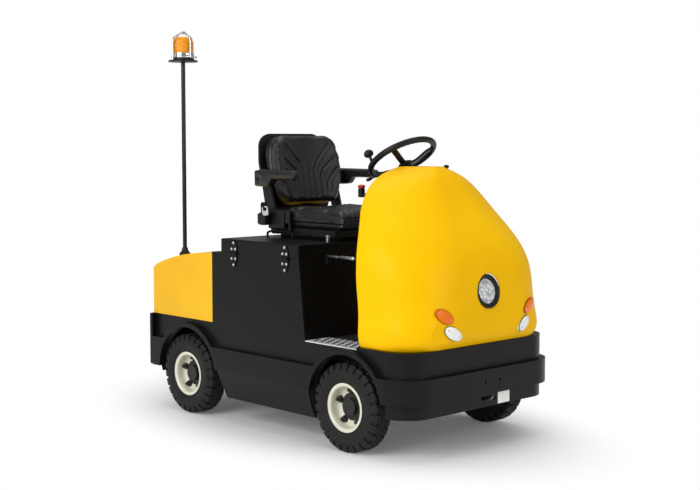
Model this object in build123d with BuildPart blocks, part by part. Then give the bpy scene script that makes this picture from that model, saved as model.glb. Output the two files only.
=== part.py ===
"""Electric tow tractor: four wheels, a moulded front cowl, a battery box under the seat, a rear coupling.

Millimetres. +X points forwards, +Y to the driver's left, +Z up.
The origin is on the ground, half way between the axles, on the centre line.
"""
import os
from math import cos, radians, sin

from build123d import *

os.makedirs("parts", exist_ok=True)

# Wheels and axles
WHEELBASE = 1212
TYRE_R = 210
TYRE_W = 113
TREAD_W = 87
SHOULDER_OUT = 5
SHOULDER_IN = 4
SHOULDER_H = 9
LUGS = 26
LUG_GAP = 13
LUG_DEEP = 11
RIM_FLANGE_R = 115
RIM_SEAT_R = 102
RIM_WALL = 5
RIM_W = 92
DISC_DEPTH = 46
DISC_T = 8
HUB_BORE_R = 65
HUB_FLANGE_T = 14
HUB_PILOT = 4
HUB_CAP_R = 40
HUB_CAP_OUT = 24
HUB_CAP_T = 7
SPINDLE_R = 20
RUNNING_FIT = 0.05
SEAT_GAP = 0.3
AXLE_X = WHEELBASE / 2
AXLE_Z = TYRE_R

# Lower body: widths from the belt, heights from the axle, lengths from the axles
BELT_HALF = 533
BELT_PROUD = 28
PLATE_T = 8
PANEL_HALF = BELT_HALF - BELT_PROUD
INNER_HALF = PANEL_HALF - PLATE_T
BELT_FRONT = AXLE_X + 412
BELT_CORNER_R = 160
BELT_LOW = AXLE_Z + 52
BELT_TOP = AXLE_Z + 168
BAND_TOP = AXLE_Z + 285
BAND_LOW = AXLE_Z - 15
BAND_FRONT = BELT_FRONT - BELT_PROUD
BAND_CORNER_R = BELT_CORNER_R - BELT_PROUD
BELT_INNER_X = BELT_FRONT - BELT_PROUD - PLATE_T
ARCH_R = TYRE_R + 37
FLARE_W = 24
SEAM_X = AXLE_X
SKIRT_LOW = AXLE_Z - 88
SKIRT_TUCK = 38
SKIRT_REAR_TOP = 261 - AXLE_X
SKIRT_REAR_LOW = SKIRT_REAR_TOP + 38
REAR_LOW = AXLE_Z + 12
REAR_TOP = AXLE_Z + 292
REAR_X = -AXLE_X - 309
BUMPER_T = 22
BUMPER_CORNER_R = 10
FLANGE_W = 36

# Track and steering
WHEEL_INSET = 58
HUB_Y = BELT_HALF - WHEEL_INSET
KINGPIN_Y = HUB_Y - 80
KINGPIN_R = 12
KINGPIN_BOSS_R = 24
FORK_T = 14
FORK_GAP = 62
ARM_L = 130
ARM_T = 14
TIE_R = 11
TIE_EYE_R = 17
TIE_PIN_R = 7

# Floor and step
FLOOR_TOP = AXLE_Z + 268
FLOOR_T = 8
MAT_T = 5
STEP_Z = FLOOR_TOP + MAT_T
TREAD_STRIP_W = 150
TREAD_STRIP_T = 9
STEP_FRONT = AXLE_X + 58

# Battery box, battery and lid
BOX_REAR = 193 - AXLE_X
BOX_TOP = AXLE_Z + 658
BOX_FRONT_LOW = AXLE_X - 297
BOX_FRONT_TOP = BOX_FRONT_LOW - 43
BOX_WALL = 6
DECK_FRONT = BOX_REAR + 68
LID_GAP = 4
LID_REAR = DECK_FRONT + LID_GAP
LID_FRONT = BOX_FRONT_TOP - LID_GAP
LID_LOW = BOX_TOP + SEAT_GAP
LID_H = 72
LID_TOP = LID_LOW + LID_H
LID_WALL = 4
LID_CORNER_R = 10
LID_EDGE_R = 6
BATTERY_ENDS = 79
BATTERY_SIDES = 42
BATTERY_ROOM = 26

# Frame under the floor
RAIL_Y = KINGPIN_Y - 175
RAIL_W = 60
RAIL_LOW = AXLE_Z + 46
RAIL_H = 80
RAIL_TOP = RAIL_LOW + RAIL_H
RAIL_REAR = REAR_X + 15
RAIL_FRONT = BELT_FRONT - 58
OUTRIGGER_X = (BOX_REAR + 78, BOX_FRONT_LOW + 6)
OUTRIGGER_W = 50
TIE_BAR_X = (BOX_REAR + 273, BOX_FRONT_LOW + 6)

# Lid hinges on the right side
HINGE_X = (LID_REAR + 112, LID_FRONT - 96)
HINGE_OUT = 6.5
HINGE_R = 6
HINGE_PIN_R = 3
HINGE_W = 50
HINGE_TIP_W = 26
HINGE_MID = 20
HINGE_LEAF_T = 4
HINGE_LEAF_H = 66

# Rear cover
COVER_REAR = REAR_X - BUMPER_T
COVER_WALL = 5
COVER_TAIL_Z = AXLE_Z + 562
COVER_TAIL_X = COVER_REAR + 32
COVER_MID_X = (COVER_REAR + BOX_REAR) / 2 - 15
COVER_MID_Z = AXLE_Z + 621
COVER_FRONT_Z = AXLE_Z + 650
COVER_LIP = 22

# Front cowl: horizontal sections from the bottom up
COWL_WALL = 6
COWL_TAIL = BELT_FRONT - 548
COWL_SECTIONS = (
    # height over the band, share of the panel's half width, then measured from the belt's front:
    # nose, X where the side starts to turn; last the half width of the flat front
    (0, 0.9683, -34, -218, 300),
    (105, 0.9941, 12, -218, 225),
    (249, 1.0, 2, -272, 205),
    (395, 0.996, -24, -314, 158),
    (545, 0.8832, -118, -386, 100),
    (685, 0.705, -214, -462, 62),
    (775, 0.46, -272, -486, 36),
    (817, 0.18, -312, -502, 20),
)
COWL_TOP = BAND_TOP + COWL_SECTIONS[-1][0]

# Rear edge of the cowl in side view: upright, a bend, then leaning back
RIM_FOOT_X = BELT_FRONT - 342
RIM_BEND = (BELT_FRONT - 354, BAND_TOP + 365)
RIM_MID = (BELT_FRONT - 384, BAND_TOP + 505)
RIM_LEAN = (BELT_FRONT - 432, BAND_TOP + 615)
RIM_TOP = (BELT_FRONT - 504, BAND_TOP + 845)
RIM_BACK = BELT_FRONT - 618

# Lamps: the headlight on the nose, two oval lamps on a flat facet at each corner
HEAD_Z = BAND_TOP + 249
HEAD_X = BELT_FRONT - 5
HEAD_LEAN = 12
HEAD_PROUD = 6
HEAD_R = 80
HEAD_LENS_R = 59
FACET_Y = 273
FACET_Z = BAND_TOP + 116
FACET_TURN = 11
FACET_DEEP = 6
FACET_CUT = 260
LAMP_A = 52
LAMP_B = 28
LAMP_TILT = 28
LAMP_BACK = 22
LAMP_PROUD = 5
LAMPS = (
    # node, outwards and upwards from the middle of the facet
    ("turn_lamps", 24, 40),
    ("marker_lamps", -24, -40),
)

# Steering wheel and column
WHEEL_C = (BELT_FRONT - 558, 0, BAND_TOP + 860)
WHEEL_TILT = 32
WHEEL_OUTER_R = 180
WHEEL_RIM_R = 13
WHEEL_HUB_R = 38
WHEEL_DISH = 42
COLUMN_R = 26
COLUMN_L = 380
SHAFT_R = 15

# Seat
SEAT_HALF = 222
SEAT_REAR = LID_REAR + 91
SEAT_FRONT = LID_FRONT - 47
RAIL_SEAT_Y = SEAT_HALF - 52
SEAT_RAIL_W = 34
SEAT_RAIL_H = 16
SEAT_RAIL_TOP = LID_TOP + SEAT_RAIL_H
SEAT_BASE_LOW = SEAT_RAIL_TOP + SEAT_GAP
SEAT_BASE_H = 34
CUSHION_HALF = SEAT_HALF + 10
CUSHION_FRONT = LID_FRONT + 28
CUSHION_REAR = LID_REAR + 176
CUSHION_LOW = SEAT_BASE_LOW + SEAT_BASE_H
CUSHION_H = 104
CUSHION_NOSE = 46
CUSHION_EDGE_R = 24
BACK_PIVOT_X = SEAT_REAR + 22
BACK_PIVOT_Z = SEAT_BASE_LOW + SEAT_BASE_H / 2
BACK_PIVOT_R = 8
BACK_PIN_OUT = 22
BACK_HALF = SEAT_HALF
BACK_FOOT_HALF = BACK_HALF - 54
BACK_HEAD_HALF = BACK_HALF - 26
BACK_BOTTOM = CUSHION_LOW + CUSHION_H + 10
BACK_H = 382
BACK_LOW_X = BACK_PIVOT_X + 31
BACK_SLOPE = 90 / 394
BACK_T = 92
BACK_WING = 56
BACK_HEAD_R = 84
BACK_FOOT_R = 60
SHELL_T = 14
SHELL_PROUD = 18
SHELL_HALF = BACK_HALF + SHELL_PROUD
SHELL_BACK = BACK_T + SHELL_T
ARM_PIVOT_X = BACK_PIVOT_X - 64
ARM_PIVOT_Z = BACK_BOTTOM + 138
ARM_PIVOT_R = 10
ARM_IN = SHELL_HALF + 12
ARM_OUT = ARM_IN + 52
ARM_FRONT = ARM_PIVOT_X + 288
ARM_REAR = ARM_PIVOT_X - 32
ARM_TOP = ARM_PIVOT_Z + 47
ARM_LOW = ARM_PIVOT_Z - 43
ARM_STEP = (ARM_PIVOT_X + 86, ARM_PIVOT_X + 116)
ARM_THIN = 46
ARM_CORNER = 12

# Beacon
POLE_X = COVER_REAR + 222
POLE_Y = 50 - PANEL_HALF
POLE_R = 11
POLE_TOP = COVER_MID_Z + 1019
POLE_FOOT_R = 30
POLE_FOOT_H = 68
BEACON_TOP = POLE_TOP + 160
BEACON_R = 52
BEACON_LENS_H = 84
BEACON_CROWN_R = 16
BEACON_PLATE_R = 78
BEACON_PLATE_T = 10
BEACON_RING_R = 58
BEACON_RING_H = 48
GUARD_R = 66
GUARD_WIRE_R = 3
GUARD_BEND = 100

# Rear coupling
COUPLING_Z = AXLE_Z + 120
COUPLING_HALF = 45
COUPLING_PLATE_T = 16
COUPLING_JAW = 40
COUPLING_BORE_R = 13
COUPLING_PAD_W = 170
COUPLING_PAD_H = 150
COUPLING_PAD_T = 12

# Front bolt holes and towing slot
FRONT_HOLE_Y = 36
FRONT_HOLE_Z = AXLE_Z + 110
FRONT_HOLE_PITCH = 102
FRONT_HOLE_R = 7
SLOT_Y = 37
SLOT_Z = AXLE_Z + 23
SLOT_L = 106
SLOT_H = 26

# Values that follow from those above
TILT = radians(WHEEL_TILT)
HEAD_TILT = radians(HEAD_LEAN)
HEAD_REACH = HEAD_X + HEAD_R * sin(HEAD_TILT) + HEAD_PROUD * cos(HEAD_TILT)
COUPLING_TAIL = -HEAD_REACH
COLUMN_AXIS = (-sin(TILT), 0, cos(TILT))
SIDES = (("right", -1), ("left", 1))
CORNERS = (
    # name, X of the axle, side of the vehicle
    ("front_right", AXLE_X, -1),
    ("front_left", AXLE_X, 1),
    ("rear_right", -AXLE_X, -1),
    ("rear_left", -AXLE_X, 1),
)


def save(piece, name):
    """Label a finished piece and write it as one STEP file."""
    piece.part.label = name
    export_step(piece.part, f"parts/{name}.step")


def side_plane(side, half):
    """Vertical plane along the vehicle at the given half width, drawn in X and Z."""
    return Plane.XZ.offset(-side * half)


def axial_plane(x, y, z):
    """Plane through a wheel's axis: local x runs along +Y, local y is the radius."""
    return Plane(origin=(x, y, z), x_dir=(0, 1, 0), z_dir=(1, 0, 0))


def band_plan(front, half, corner, wall, back):
    """U-shaped plan of a front band: a rectangle with two round corners, less its inside."""
    with BuildSketch() as inside:
        with Locations((back - wall, 0)):
            Rectangle(front - wall - (back - wall), 2 * (half - wall), align=(Align.MIN, Align.CENTER))
        fillet(inside.vertices().group_by(Axis.X)[-1], corner - wall)
    with BuildSketch() as plan:
        with Locations((back, 0)):
            Rectangle(front - back, 2 * half, align=(Align.MIN, Align.CENTER))
        fillet(plan.vertices().group_by(Axis.X)[-1], corner)
        add(inside.sketch, mode=Mode.SUBTRACT)
    return plan.sketch


def cowl_nose(y, z):
    """X of the cowl's surface at a width and height, between its two nearest sections."""
    rows = COWL_SECTIONS
    upper = next(i for i, row in enumerate(rows) if BAND_TOP + row[0] >= z)
    share = (z - BAND_TOP - rows[upper - 1][0]) / (rows[upper][0] - rows[upper - 1][0])
    half, nose, bend, flat = (
        low + share * (high - low) for low, high in zip(rows[upper - 1][1:], rows[upper][1:])
    )
    across = max(0, (abs(y) - flat) / (half * PANEL_HALF - flat))
    return BELT_FRONT + bend + (nose - bend) * (1 - across ** 2) ** 0.5


def facet_plane(side):
    """Plane of the flat facet that holds one side's oval lamps, sunk a little into the nose."""
    facing = (cos(radians(FACET_TURN)), side * sin(radians(FACET_TURN)), 0)
    middle = (cowl_nose(FACET_Y, FACET_Z) - FACET_DEEP, side * FACET_Y, FACET_Z)
    return Plane(origin=middle, x_dir=(-facing[1], facing[0], 0), z_dir=facing)


def cowl_plan(half, nose, bend, flat, inset):
    """Plan of the cowl at one height: straight sides, quarter ellipses and a flat front."""
    half = half * PANEL_HALF - inset
    nose = BELT_FRONT + nose - inset
    bend = BELT_FRONT + bend
    with BuildSketch() as plan:
        with BuildLine():
            Line((COWL_TAIL, -half), (bend, -half))
            EllipticalCenterArc((bend, -flat), nose - bend, half - flat, start_angle=270, arc_size=90)
            Line((nose, -flat), (nose, flat))
            EllipticalCenterArc((bend, flat), nose - bend, half - flat, start_angle=0, arc_size=90)
            Line((bend, half), (COWL_TAIL, half))
            Line((COWL_TAIL, half), (COWL_TAIL, -half))
        make_face()
    return plan.sketch


def cowl_body(inset):
    """Closed body of the cowl, drawn in by the inset on its sides, nose and top."""
    with BuildPart() as body:
        for height, half, nose, bend, flat in COWL_SECTIONS:
            drop = inset * height / COWL_SECTIONS[-1][0]
            with BuildSketch(Plane.XY.offset(BAND_TOP + height - drop)):
                add(cowl_plan(half, nose, bend, flat, inset))
        loft()
        for name, side in SIDES:
            with BuildSketch(facet_plane(side).offset(-inset)):
                Rectangle(FACET_CUT, FACET_CUT)
            extrude(amount=FACET_CUT, mode=Mode.SUBTRACT)
    return body.part


def behind_rim(shift):
    """Side view of everything behind the cowl's rear edge, moved forwards by the shift."""
    foot = BAND_TOP - 2 * PLATE_T
    bend, middle, lean, top = ((x + shift, z) for x, z in (RIM_BEND, RIM_MID, RIM_LEAN, RIM_TOP))
    with BuildSketch() as view:
        with BuildLine():
            Line((RIM_FOOT_X + shift, foot), bend)
            ThreePointArc(bend, middle, lean)
            Line(lean, top)
            Line(top, (RIM_BACK, RIM_TOP[1]))
            Line((RIM_BACK, RIM_TOP[1]), (RIM_BACK, foot))
            Line((RIM_BACK, foot), (RIM_FOOT_X + shift, foot))
        make_face()
    return view.sketch


def cover_view(inset):
    """Side view of the rear cover, drawn in by the inset at its rear and top."""
    rear = COVER_REAR + inset
    with BuildSketch() as view:
        with BuildLine():
            Line((BOX_REAR, REAR_TOP), (BOX_REAR, COVER_FRONT_Z - inset))
            ThreePointArc(
                (BOX_REAR, COVER_FRONT_Z - inset),
                (COVER_MID_X, COVER_MID_Z - inset),
                (COVER_TAIL_X, COVER_TAIL_Z - inset),
            )
            Line((COVER_TAIL_X, COVER_TAIL_Z - inset), (rear, COVER_TAIL_Z - inset - COVER_LIP))
            Line((rear, COVER_TAIL_Z - inset - COVER_LIP), (rear, REAR_TOP))
            Line((rear, REAR_TOP), (BOX_REAR, REAR_TOP))
        make_face()
    return view.sketch


# Side panels: battery-box side, sill, proud belt, arch flares and tucked skirt in one pressed plate
for name, side in SIDES:
    with BuildPart() as panel:
        with BuildSketch(side_plane(side, PANEL_HALF)):
            with BuildLine():
                Polyline(
                    (REAR_X, BELT_TOP),
                    (REAR_X, REAR_TOP),
                    (BOX_REAR, REAR_TOP),
                    (BOX_REAR, BOX_TOP),
                    (BOX_FRONT_TOP, BOX_TOP),
                    (BOX_FRONT_LOW, STEP_Z),
                    (SEAM_X, STEP_Z),
                    (SEAM_X, BELT_TOP),
                    close=True,
                )
            make_face()
        extrude(amount=side * PLATE_T)
        with BuildSketch(side_plane(side, BELT_HALF)):
            with BuildLine():
                Polyline(
                    (REAR_X, REAR_LOW),
                    (REAR_X, BELT_TOP),
                    (SEAM_X, BELT_TOP),
                    (SEAM_X, BELT_LOW),
                    (-AXLE_X, BELT_LOW),
                    (-AXLE_X, REAR_LOW),
                    close=True,
                )
            make_face()
        extrude(amount=side * (BELT_PROUD + PLATE_T))
        with BuildSketch(Plane.YZ.offset(SKIRT_REAR_TOP)):
            with BuildLine():
                Polyline(
                    (side * BELT_HALF, BELT_LOW),
                    (side * (BELT_HALF - SKIRT_TUCK), SKIRT_LOW),
                    (side * (BELT_HALF - SKIRT_TUCK - PLATE_T), SKIRT_LOW),
                    (side * (BELT_HALF - PLATE_T), BELT_LOW),
                    close=True,
                )
            make_face()
        extrude(amount=SEAM_X - SKIRT_REAR_TOP)
        with BuildSketch(side_plane(side, BELT_HALF)):
            with BuildLine():
                Polyline(
                    (SKIRT_REAR_TOP, BELT_LOW),
                    (SKIRT_REAR_LOW, SKIRT_LOW),
                    (SKIRT_REAR_TOP, SKIRT_LOW),
                    close=True,
                )
            make_face()
        extrude(amount=side * BELT_HALF / 2, mode=Mode.SUBTRACT)
        for x in (-AXLE_X, AXLE_X):
            with Locations(Location((x, side * BELT_HALF, TYRE_R), (90, 0, 0))):
                Cylinder(ARCH_R, 4 * BELT_PROUD, mode=Mode.SUBTRACT)
        for x in (-AXLE_X, AXLE_X):
            with BuildSketch(side_plane(side, BELT_HALF)) as flare:
                with Locations((x, TYRE_R)):
                    Circle(ARCH_R + FLARE_W)
                    Circle(ARCH_R, mode=Mode.SUBTRACT)
                with Locations((x, BELT_TOP)):
                    Rectangle(4 * ARCH_R, 4 * ARCH_R, align=(Align.CENTER, Align.MAX), mode=Mode.SUBTRACT)
                with Locations((SEAM_X, TYRE_R)):
                    Rectangle(2 * ARCH_R, 4 * ARCH_R, align=(Align.MIN, Align.CENTER), mode=Mode.SUBTRACT)
            extrude(amount=side * (BELT_PROUD + PLATE_T))
    save(panel, f"side_panel_{name}")

# Front bumper: two bands with the proud belt between them, and the flange that carries the cowl
with BuildPart() as front_bumper:
    with BuildSketch(Plane.XY.offset(BELT_LOW)):
        add(band_plan(BELT_FRONT, BELT_HALF, BELT_CORNER_R, BELT_PROUD + PLATE_T, SEAM_X))
    extrude(amount=BELT_TOP - BELT_LOW)
    with BuildSketch(Plane.XY.offset(BAND_LOW)):
        add(band_plan(BAND_FRONT, PANEL_HALF, BAND_CORNER_R, PLATE_T, SEAM_X))
    extrude(amount=BAND_TOP - BAND_LOW)
    with BuildSketch(Plane.XY.offset(BAND_TOP - PLATE_T)):
        add(band_plan(BAND_FRONT, PANEL_HALF, BAND_CORNER_R, FLANGE_W, STEP_FRONT))
    extrude(amount=PLATE_T)
    with Locations(((SEAM_X + STEP_FRONT) / 2, 0, BAND_TOP)):
        Box(STEP_FRONT - SEAM_X, 2 * BELT_HALF, 2 * (BAND_TOP - STEP_Z), mode=Mode.SUBTRACT)
    for name, side in SIDES:
        with Locations(Location((AXLE_X, side * BELT_HALF, TYRE_R), (90, 0, 0))):
            Cylinder(ARCH_R, 4 * BELT_PROUD, mode=Mode.SUBTRACT)
        with BuildSketch(side_plane(side, BELT_HALF)):
            with Locations((AXLE_X, TYRE_R)):
                Circle(ARCH_R + FLARE_W)
                Circle(ARCH_R, mode=Mode.SUBTRACT)
            with Locations((AXLE_X, BELT_TOP)):
                Rectangle(4 * ARCH_R, 4 * ARCH_R, align=(Align.CENTER, Align.MAX), mode=Mode.SUBTRACT)
            with Locations((SEAM_X, TYRE_R)):
                Rectangle(2 * ARCH_R, 4 * ARCH_R, align=(Align.MAX, Align.CENTER), mode=Mode.SUBTRACT)
        extrude(amount=side * (BELT_PROUD + PLATE_T))
    with BuildSketch(Plane.YZ.offset(BELT_FRONT)):
        with Locations((FRONT_HOLE_Y, FRONT_HOLE_Z)):
            with GridLocations(FRONT_HOLE_PITCH, 1, 2, 1):
                Circle(FRONT_HOLE_R)
    extrude(amount=-2 * (BELT_PROUD + PLATE_T), mode=Mode.SUBTRACT)
    with BuildSketch(Plane.YZ.offset(BELT_FRONT)):
        with Locations((SLOT_Y, SLOT_Z)):
            SlotOverall(SLOT_L, SLOT_H)
    extrude(amount=-2 * (BELT_PROUD + PLATE_T), mode=Mode.SUBTRACT)
save(front_bumper, "front_bumper")

# Rear bumper: one heavy plate across the full width
with BuildPart() as rear_bumper:
    with BuildSketch(Plane.YZ.offset(REAR_X - BUMPER_T)):
        with Locations((0, (REAR_LOW + REAR_TOP) / 2)):
            RectangleRounded(2 * BELT_HALF, REAR_TOP - REAR_LOW, BUMPER_CORNER_R)
    extrude(amount=BUMPER_T)
save(rear_bumper, "rear_bumper")

# Main frame: two rails, cross members, outriggers to the side panels
with BuildPart() as main_frame:
    for name, side in SIDES:
        with Locations(((RAIL_REAR + RAIL_FRONT) / 2, side * RAIL_Y, RAIL_LOW + RAIL_H / 2)):
            Box(RAIL_FRONT - RAIL_REAR, RAIL_W, RAIL_H)
    with Locations((RAIL_FRONT - RAIL_W / 2, 0, RAIL_LOW + RAIL_H / 2)):
        Box(RAIL_W, 2 * RAIL_Y, RAIL_H)
    with Locations(((RAIL_FRONT + BELT_INNER_X) / 2, 0, RAIL_LOW + RAIL_H / 2)):
        Box(BELT_INNER_X - RAIL_FRONT, 2 * RAIL_Y + RAIL_W, RAIL_H / 2)
    with Locations(((RAIL_REAR + REAR_X) / 2, 0, RAIL_LOW + RAIL_H / 2)):
        Box(RAIL_REAR - REAR_X, 2 * RAIL_Y + RAIL_W, RAIL_H)
    for x in OUTRIGGER_X:
        for name, side in SIDES:
            with Locations((x, side * (RAIL_Y + INNER_HALF) / 2, RAIL_LOW + RAIL_H / 2)):
                Box(OUTRIGGER_W, INNER_HALF - RAIL_Y, RAIL_H)
    for x in TIE_BAR_X:
        with Locations((x, 0, RAIL_LOW + RAIL_H / 2)):
            Box(OUTRIGGER_W, 2 * RAIL_Y, RAIL_H)
save(main_frame, "main_frame")

# Battery box: floor, slanted front wall, rear wall and the deck behind the lid
with BuildPart() as battery_box:
    with BuildSketch(side_plane(1, INNER_HALF)):
        with BuildLine():
            Polyline(
                (BOX_REAR, RAIL_TOP),
                (BOX_REAR, BOX_TOP),
                (DECK_FRONT, BOX_TOP),
                (DECK_FRONT, BOX_TOP - BOX_WALL),
                (BOX_REAR + BOX_WALL, BOX_TOP - BOX_WALL),
                (BOX_REAR + BOX_WALL, RAIL_TOP + BOX_WALL),
                (BOX_FRONT_LOW - BOX_WALL, RAIL_TOP + BOX_WALL),
                (BOX_FRONT_LOW - BOX_WALL, FLOOR_TOP),
                (BOX_FRONT_TOP - BOX_WALL, BOX_TOP),
                (BOX_FRONT_TOP, BOX_TOP),
                (BOX_FRONT_LOW, STEP_Z),
                (BOX_FRONT_LOW, RAIL_TOP),
                close=True,
            )
        make_face()
    extrude(amount=2 * INNER_HALF)
save(battery_box, "battery_box")

# Traction battery: a plain block that fills the box
with BuildPart() as battery:
    with Locations(((BOX_REAR + BOX_FRONT_TOP) / 2, 0, RAIL_TOP + BOX_WALL)):
        Box(
            BOX_FRONT_TOP - BOX_REAR - BATTERY_ENDS,
            2 * (INNER_HALF - BATTERY_SIDES),
            BOX_TOP - BATTERY_ROOM - RAIL_TOP - BOX_WALL,
            align=(Align.CENTER, Align.CENTER, Align.MIN),
        )
save(battery, "battery")

# Battery lid: a folded steel tray, open below, that also carries the seat
with BuildPart() as battery_lid:
    with Locations(((LID_REAR + LID_FRONT) / 2, 0, LID_LOW)):
        Box(LID_FRONT - LID_REAR, 2 * PANEL_HALF, LID_H, align=(Align.CENTER, Align.CENTER, Align.MIN))
    fillet(battery_lid.edges().filter_by(Axis.Z), LID_CORNER_R)
    fillet(battery_lid.faces().sort_by(Axis.Z)[-1].edges(), LID_EDGE_R)
    offset(amount=-LID_WALL, openings=battery_lid.faces().sort_by(Axis.Z)[0])
save(battery_lid, "battery_lid")

# Strap hinges: the lower leaves with their pins on the panel, the upper leaves on the lid
HINGE_Y = -PANEL_HALF - HINGE_OUT
HINGE_Z = BOX_TOP + SEAT_GAP / 2
KNUCKLE_L = (HINGE_W - HINGE_MID) / 2
LEAF_START = HINGE_R + 1
with BuildPart() as hinges_lower:
    for x in HINGE_X:
        with BuildSketch(Plane.XZ.offset(PANEL_HALF)):
            with BuildLine():
                Polyline(
                    (x - HINGE_W / 2, HINGE_Z - LEAF_START),
                    (x + HINGE_W / 2, HINGE_Z - LEAF_START),
                    (x + HINGE_W / 2, HINGE_Z - HINGE_LEAF_H / 2),
                    (x + HINGE_TIP_W / 2, HINGE_Z - HINGE_LEAF_H),
                    (x - HINGE_TIP_W / 2, HINGE_Z - HINGE_LEAF_H),
                    (x - HINGE_W / 2, HINGE_Z - HINGE_LEAF_H / 2),
                    close=True,
                )
            make_face()
        extrude(amount=HINGE_LEAF_T)
        for end in (-1, 1):
            middle = x + end * (HINGE_W - KNUCKLE_L) / 2
            with Locations(Location((middle, HINGE_Y, HINGE_Z), (0, 90, 0))):
                Cylinder(HINGE_R, KNUCKLE_L - SEAT_GAP)
            with Locations((middle, -PANEL_HALF - HINGE_LEAF_T / 2 - 0.5, HINGE_Z - LEAF_START / 2)):
                Box(KNUCKLE_L - SEAT_GAP, HINGE_LEAF_T - 1, LEAF_START)
        with Locations(Location((x, HINGE_Y, HINGE_Z), (0, 90, 0))):
            Cylinder(HINGE_PIN_R, HINGE_W)
save(hinges_lower, "hinges_lower")

with BuildPart() as hinges_upper:
    for x in HINGE_X:
        with BuildSketch(Plane.XZ.offset(PANEL_HALF)):
            with BuildLine():
                Polyline(
                    (x - HINGE_W / 2, HINGE_Z + LEAF_START),
                    (x + HINGE_W / 2, HINGE_Z + LEAF_START),
                    (x + HINGE_W / 2, HINGE_Z + HINGE_LEAF_H / 2),
                    (x + HINGE_TIP_W / 2, HINGE_Z + HINGE_LEAF_H),
                    (x - HINGE_TIP_W / 2, HINGE_Z + HINGE_LEAF_H),
                    (x - HINGE_W / 2, HINGE_Z + HINGE_LEAF_H / 2),
                    close=True,
                )
            make_face()
        extrude(amount=HINGE_LEAF_T)
        with Locations(Location((x, HINGE_Y, HINGE_Z), (0, 90, 0))):
            Cylinder(HINGE_R, HINGE_MID - SEAT_GAP)
        with Locations((x, -PANEL_HALF - HINGE_LEAF_T / 2 - 0.5, HINGE_Z + LEAF_START / 2)):
            Box(HINGE_MID - SEAT_GAP, HINGE_LEAF_T - 1, LEAF_START)
        with Locations(Location((x, HINGE_Y, HINGE_Z), (0, 90, 0))):
            Cylinder(HINGE_PIN_R + RUNNING_FIT, HINGE_W, mode=Mode.SUBTRACT)
save(hinges_upper, "hinges_upper")

# Rear cover: a painted sheet hood over the drive, open below
with BuildPart() as rear_cover:
    with BuildSketch(side_plane(1, PANEL_HALF)):
        add(cover_view(0))
    extrude(amount=2 * PANEL_HALF)
    with BuildSketch(side_plane(1, PANEL_HALF - COVER_WALL)):
        add(cover_view(COVER_WALL))
    extrude(amount=2 * (PANEL_HALF - COVER_WALL), mode=Mode.SUBTRACT)
save(rear_cover, "rear_cover")

# Floor plate from the battery box to the front, with the mat and the bright step treads on it
with BuildPart() as floor_plate:
    with BuildSketch(Plane.XY.offset(FLOOR_TOP - FLOOR_T)):
        with Locations((BOX_FRONT_LOW, 0)):
            Rectangle(
                BAND_FRONT - PLATE_T - SEAT_GAP - BOX_FRONT_LOW,
                2 * (INNER_HALF - SEAT_GAP),
                align=(Align.MIN, Align.CENTER),
            )
    extrude(amount=FLOOR_T)
    fillet(floor_plate.edges().filter_by(Axis.Z).group_by(Axis.X)[-1], BAND_CORNER_R - PLATE_T)
save(floor_plate, "floor_plate")

with BuildPart() as floor_mat:
    with BuildSketch(Plane.XY.offset(FLOOR_TOP)):
        with Locations((BOX_FRONT_LOW + SEAT_GAP, 0)):
            Rectangle(
                STEP_FRONT - BOX_FRONT_LOW,
                2 * (INNER_HALF - TREAD_STRIP_W - SEAT_GAP),
                align=(Align.MIN, Align.CENTER),
            )
    extrude(amount=MAT_T)
save(floor_mat, "floor_mat")

STEP_MID = (BOX_FRONT_LOW + STEP_FRONT) / 2
with BuildPart() as step_treads:
    for name, side in SIDES:
        with Locations((STEP_MID, side * (INNER_HALF - TREAD_STRIP_W / 2), FLOOR_TOP)):
            Box(
                STEP_FRONT - BOX_FRONT_LOW - 2 * SEAT_GAP,
                TREAD_STRIP_W,
                TREAD_STRIP_T,
                align=(Align.CENTER, Align.CENTER, Align.MIN),
            )
        with Locations((STEP_MID, side * (PANEL_HALF - PLATE_T), STEP_Z)):
            Box(
                STEP_FRONT - BOX_FRONT_LOW - 2 * SEAT_GAP,
                2 * PLATE_T,
                TREAD_STRIP_T - MAT_T,
                align=(Align.CENTER, Align.CENTER, Align.MIN),
            )
save(step_treads, "step_treads")

# Plane of the headlight, leaning back with the nose
HEAD_PLANE = Plane(
    origin=(HEAD_X, 0, HEAD_Z), x_dir=(0, 1, 0), z_dir=(cos(HEAD_TILT), 0, sin(HEAD_TILT))
)

# Front cowl: a moulded shell, open behind and below
cowl_outside = cowl_body(0)
cowl_inside = cowl_body(COWL_WALL)
with BuildPart() as cowl:
    add(cowl_outside)
    add(cowl_inside, mode=Mode.SUBTRACT)
    with BuildSketch(side_plane(1, BELT_HALF)):
        add(behind_rim(0))
    extrude(amount=2 * BELT_HALF, mode=Mode.SUBTRACT)
    with BuildSketch(HEAD_PLANE.offset(-2 * LAMP_BACK)):
        Circle(HEAD_R + SEAT_GAP)
    extrude(amount=4 * LAMP_BACK, mode=Mode.SUBTRACT)
    for node, out, up in LAMPS:
        for name, side in SIDES:
            with BuildSketch(facet_plane(side).offset(-2 * LAMP_BACK)):
                with Locations((side * out, up)):
                    Ellipse(LAMP_A + SEAT_GAP, LAMP_B + SEAT_GAP, rotation=side * LAMP_TILT)
            extrude(amount=4 * LAMP_BACK, mode=Mode.SUBTRACT)
save(cowl, "cowl")

with BuildPart() as headlight_ring:
    with BuildSketch(HEAD_PLANE.offset(-LAMP_BACK)):
        Circle(HEAD_R)
        Circle(HEAD_LENS_R, mode=Mode.SUBTRACT)
    extrude(amount=LAMP_BACK + HEAD_PROUD)
save(headlight_ring, "headlight_ring")

with BuildPart() as headlight_lens:
    with BuildSketch(HEAD_PLANE.offset(-LAMP_BACK)):
        Circle(HEAD_LENS_R - SEAT_GAP)
    extrude(amount=LAMP_BACK)
save(headlight_lens, "headlight_lens")

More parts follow.
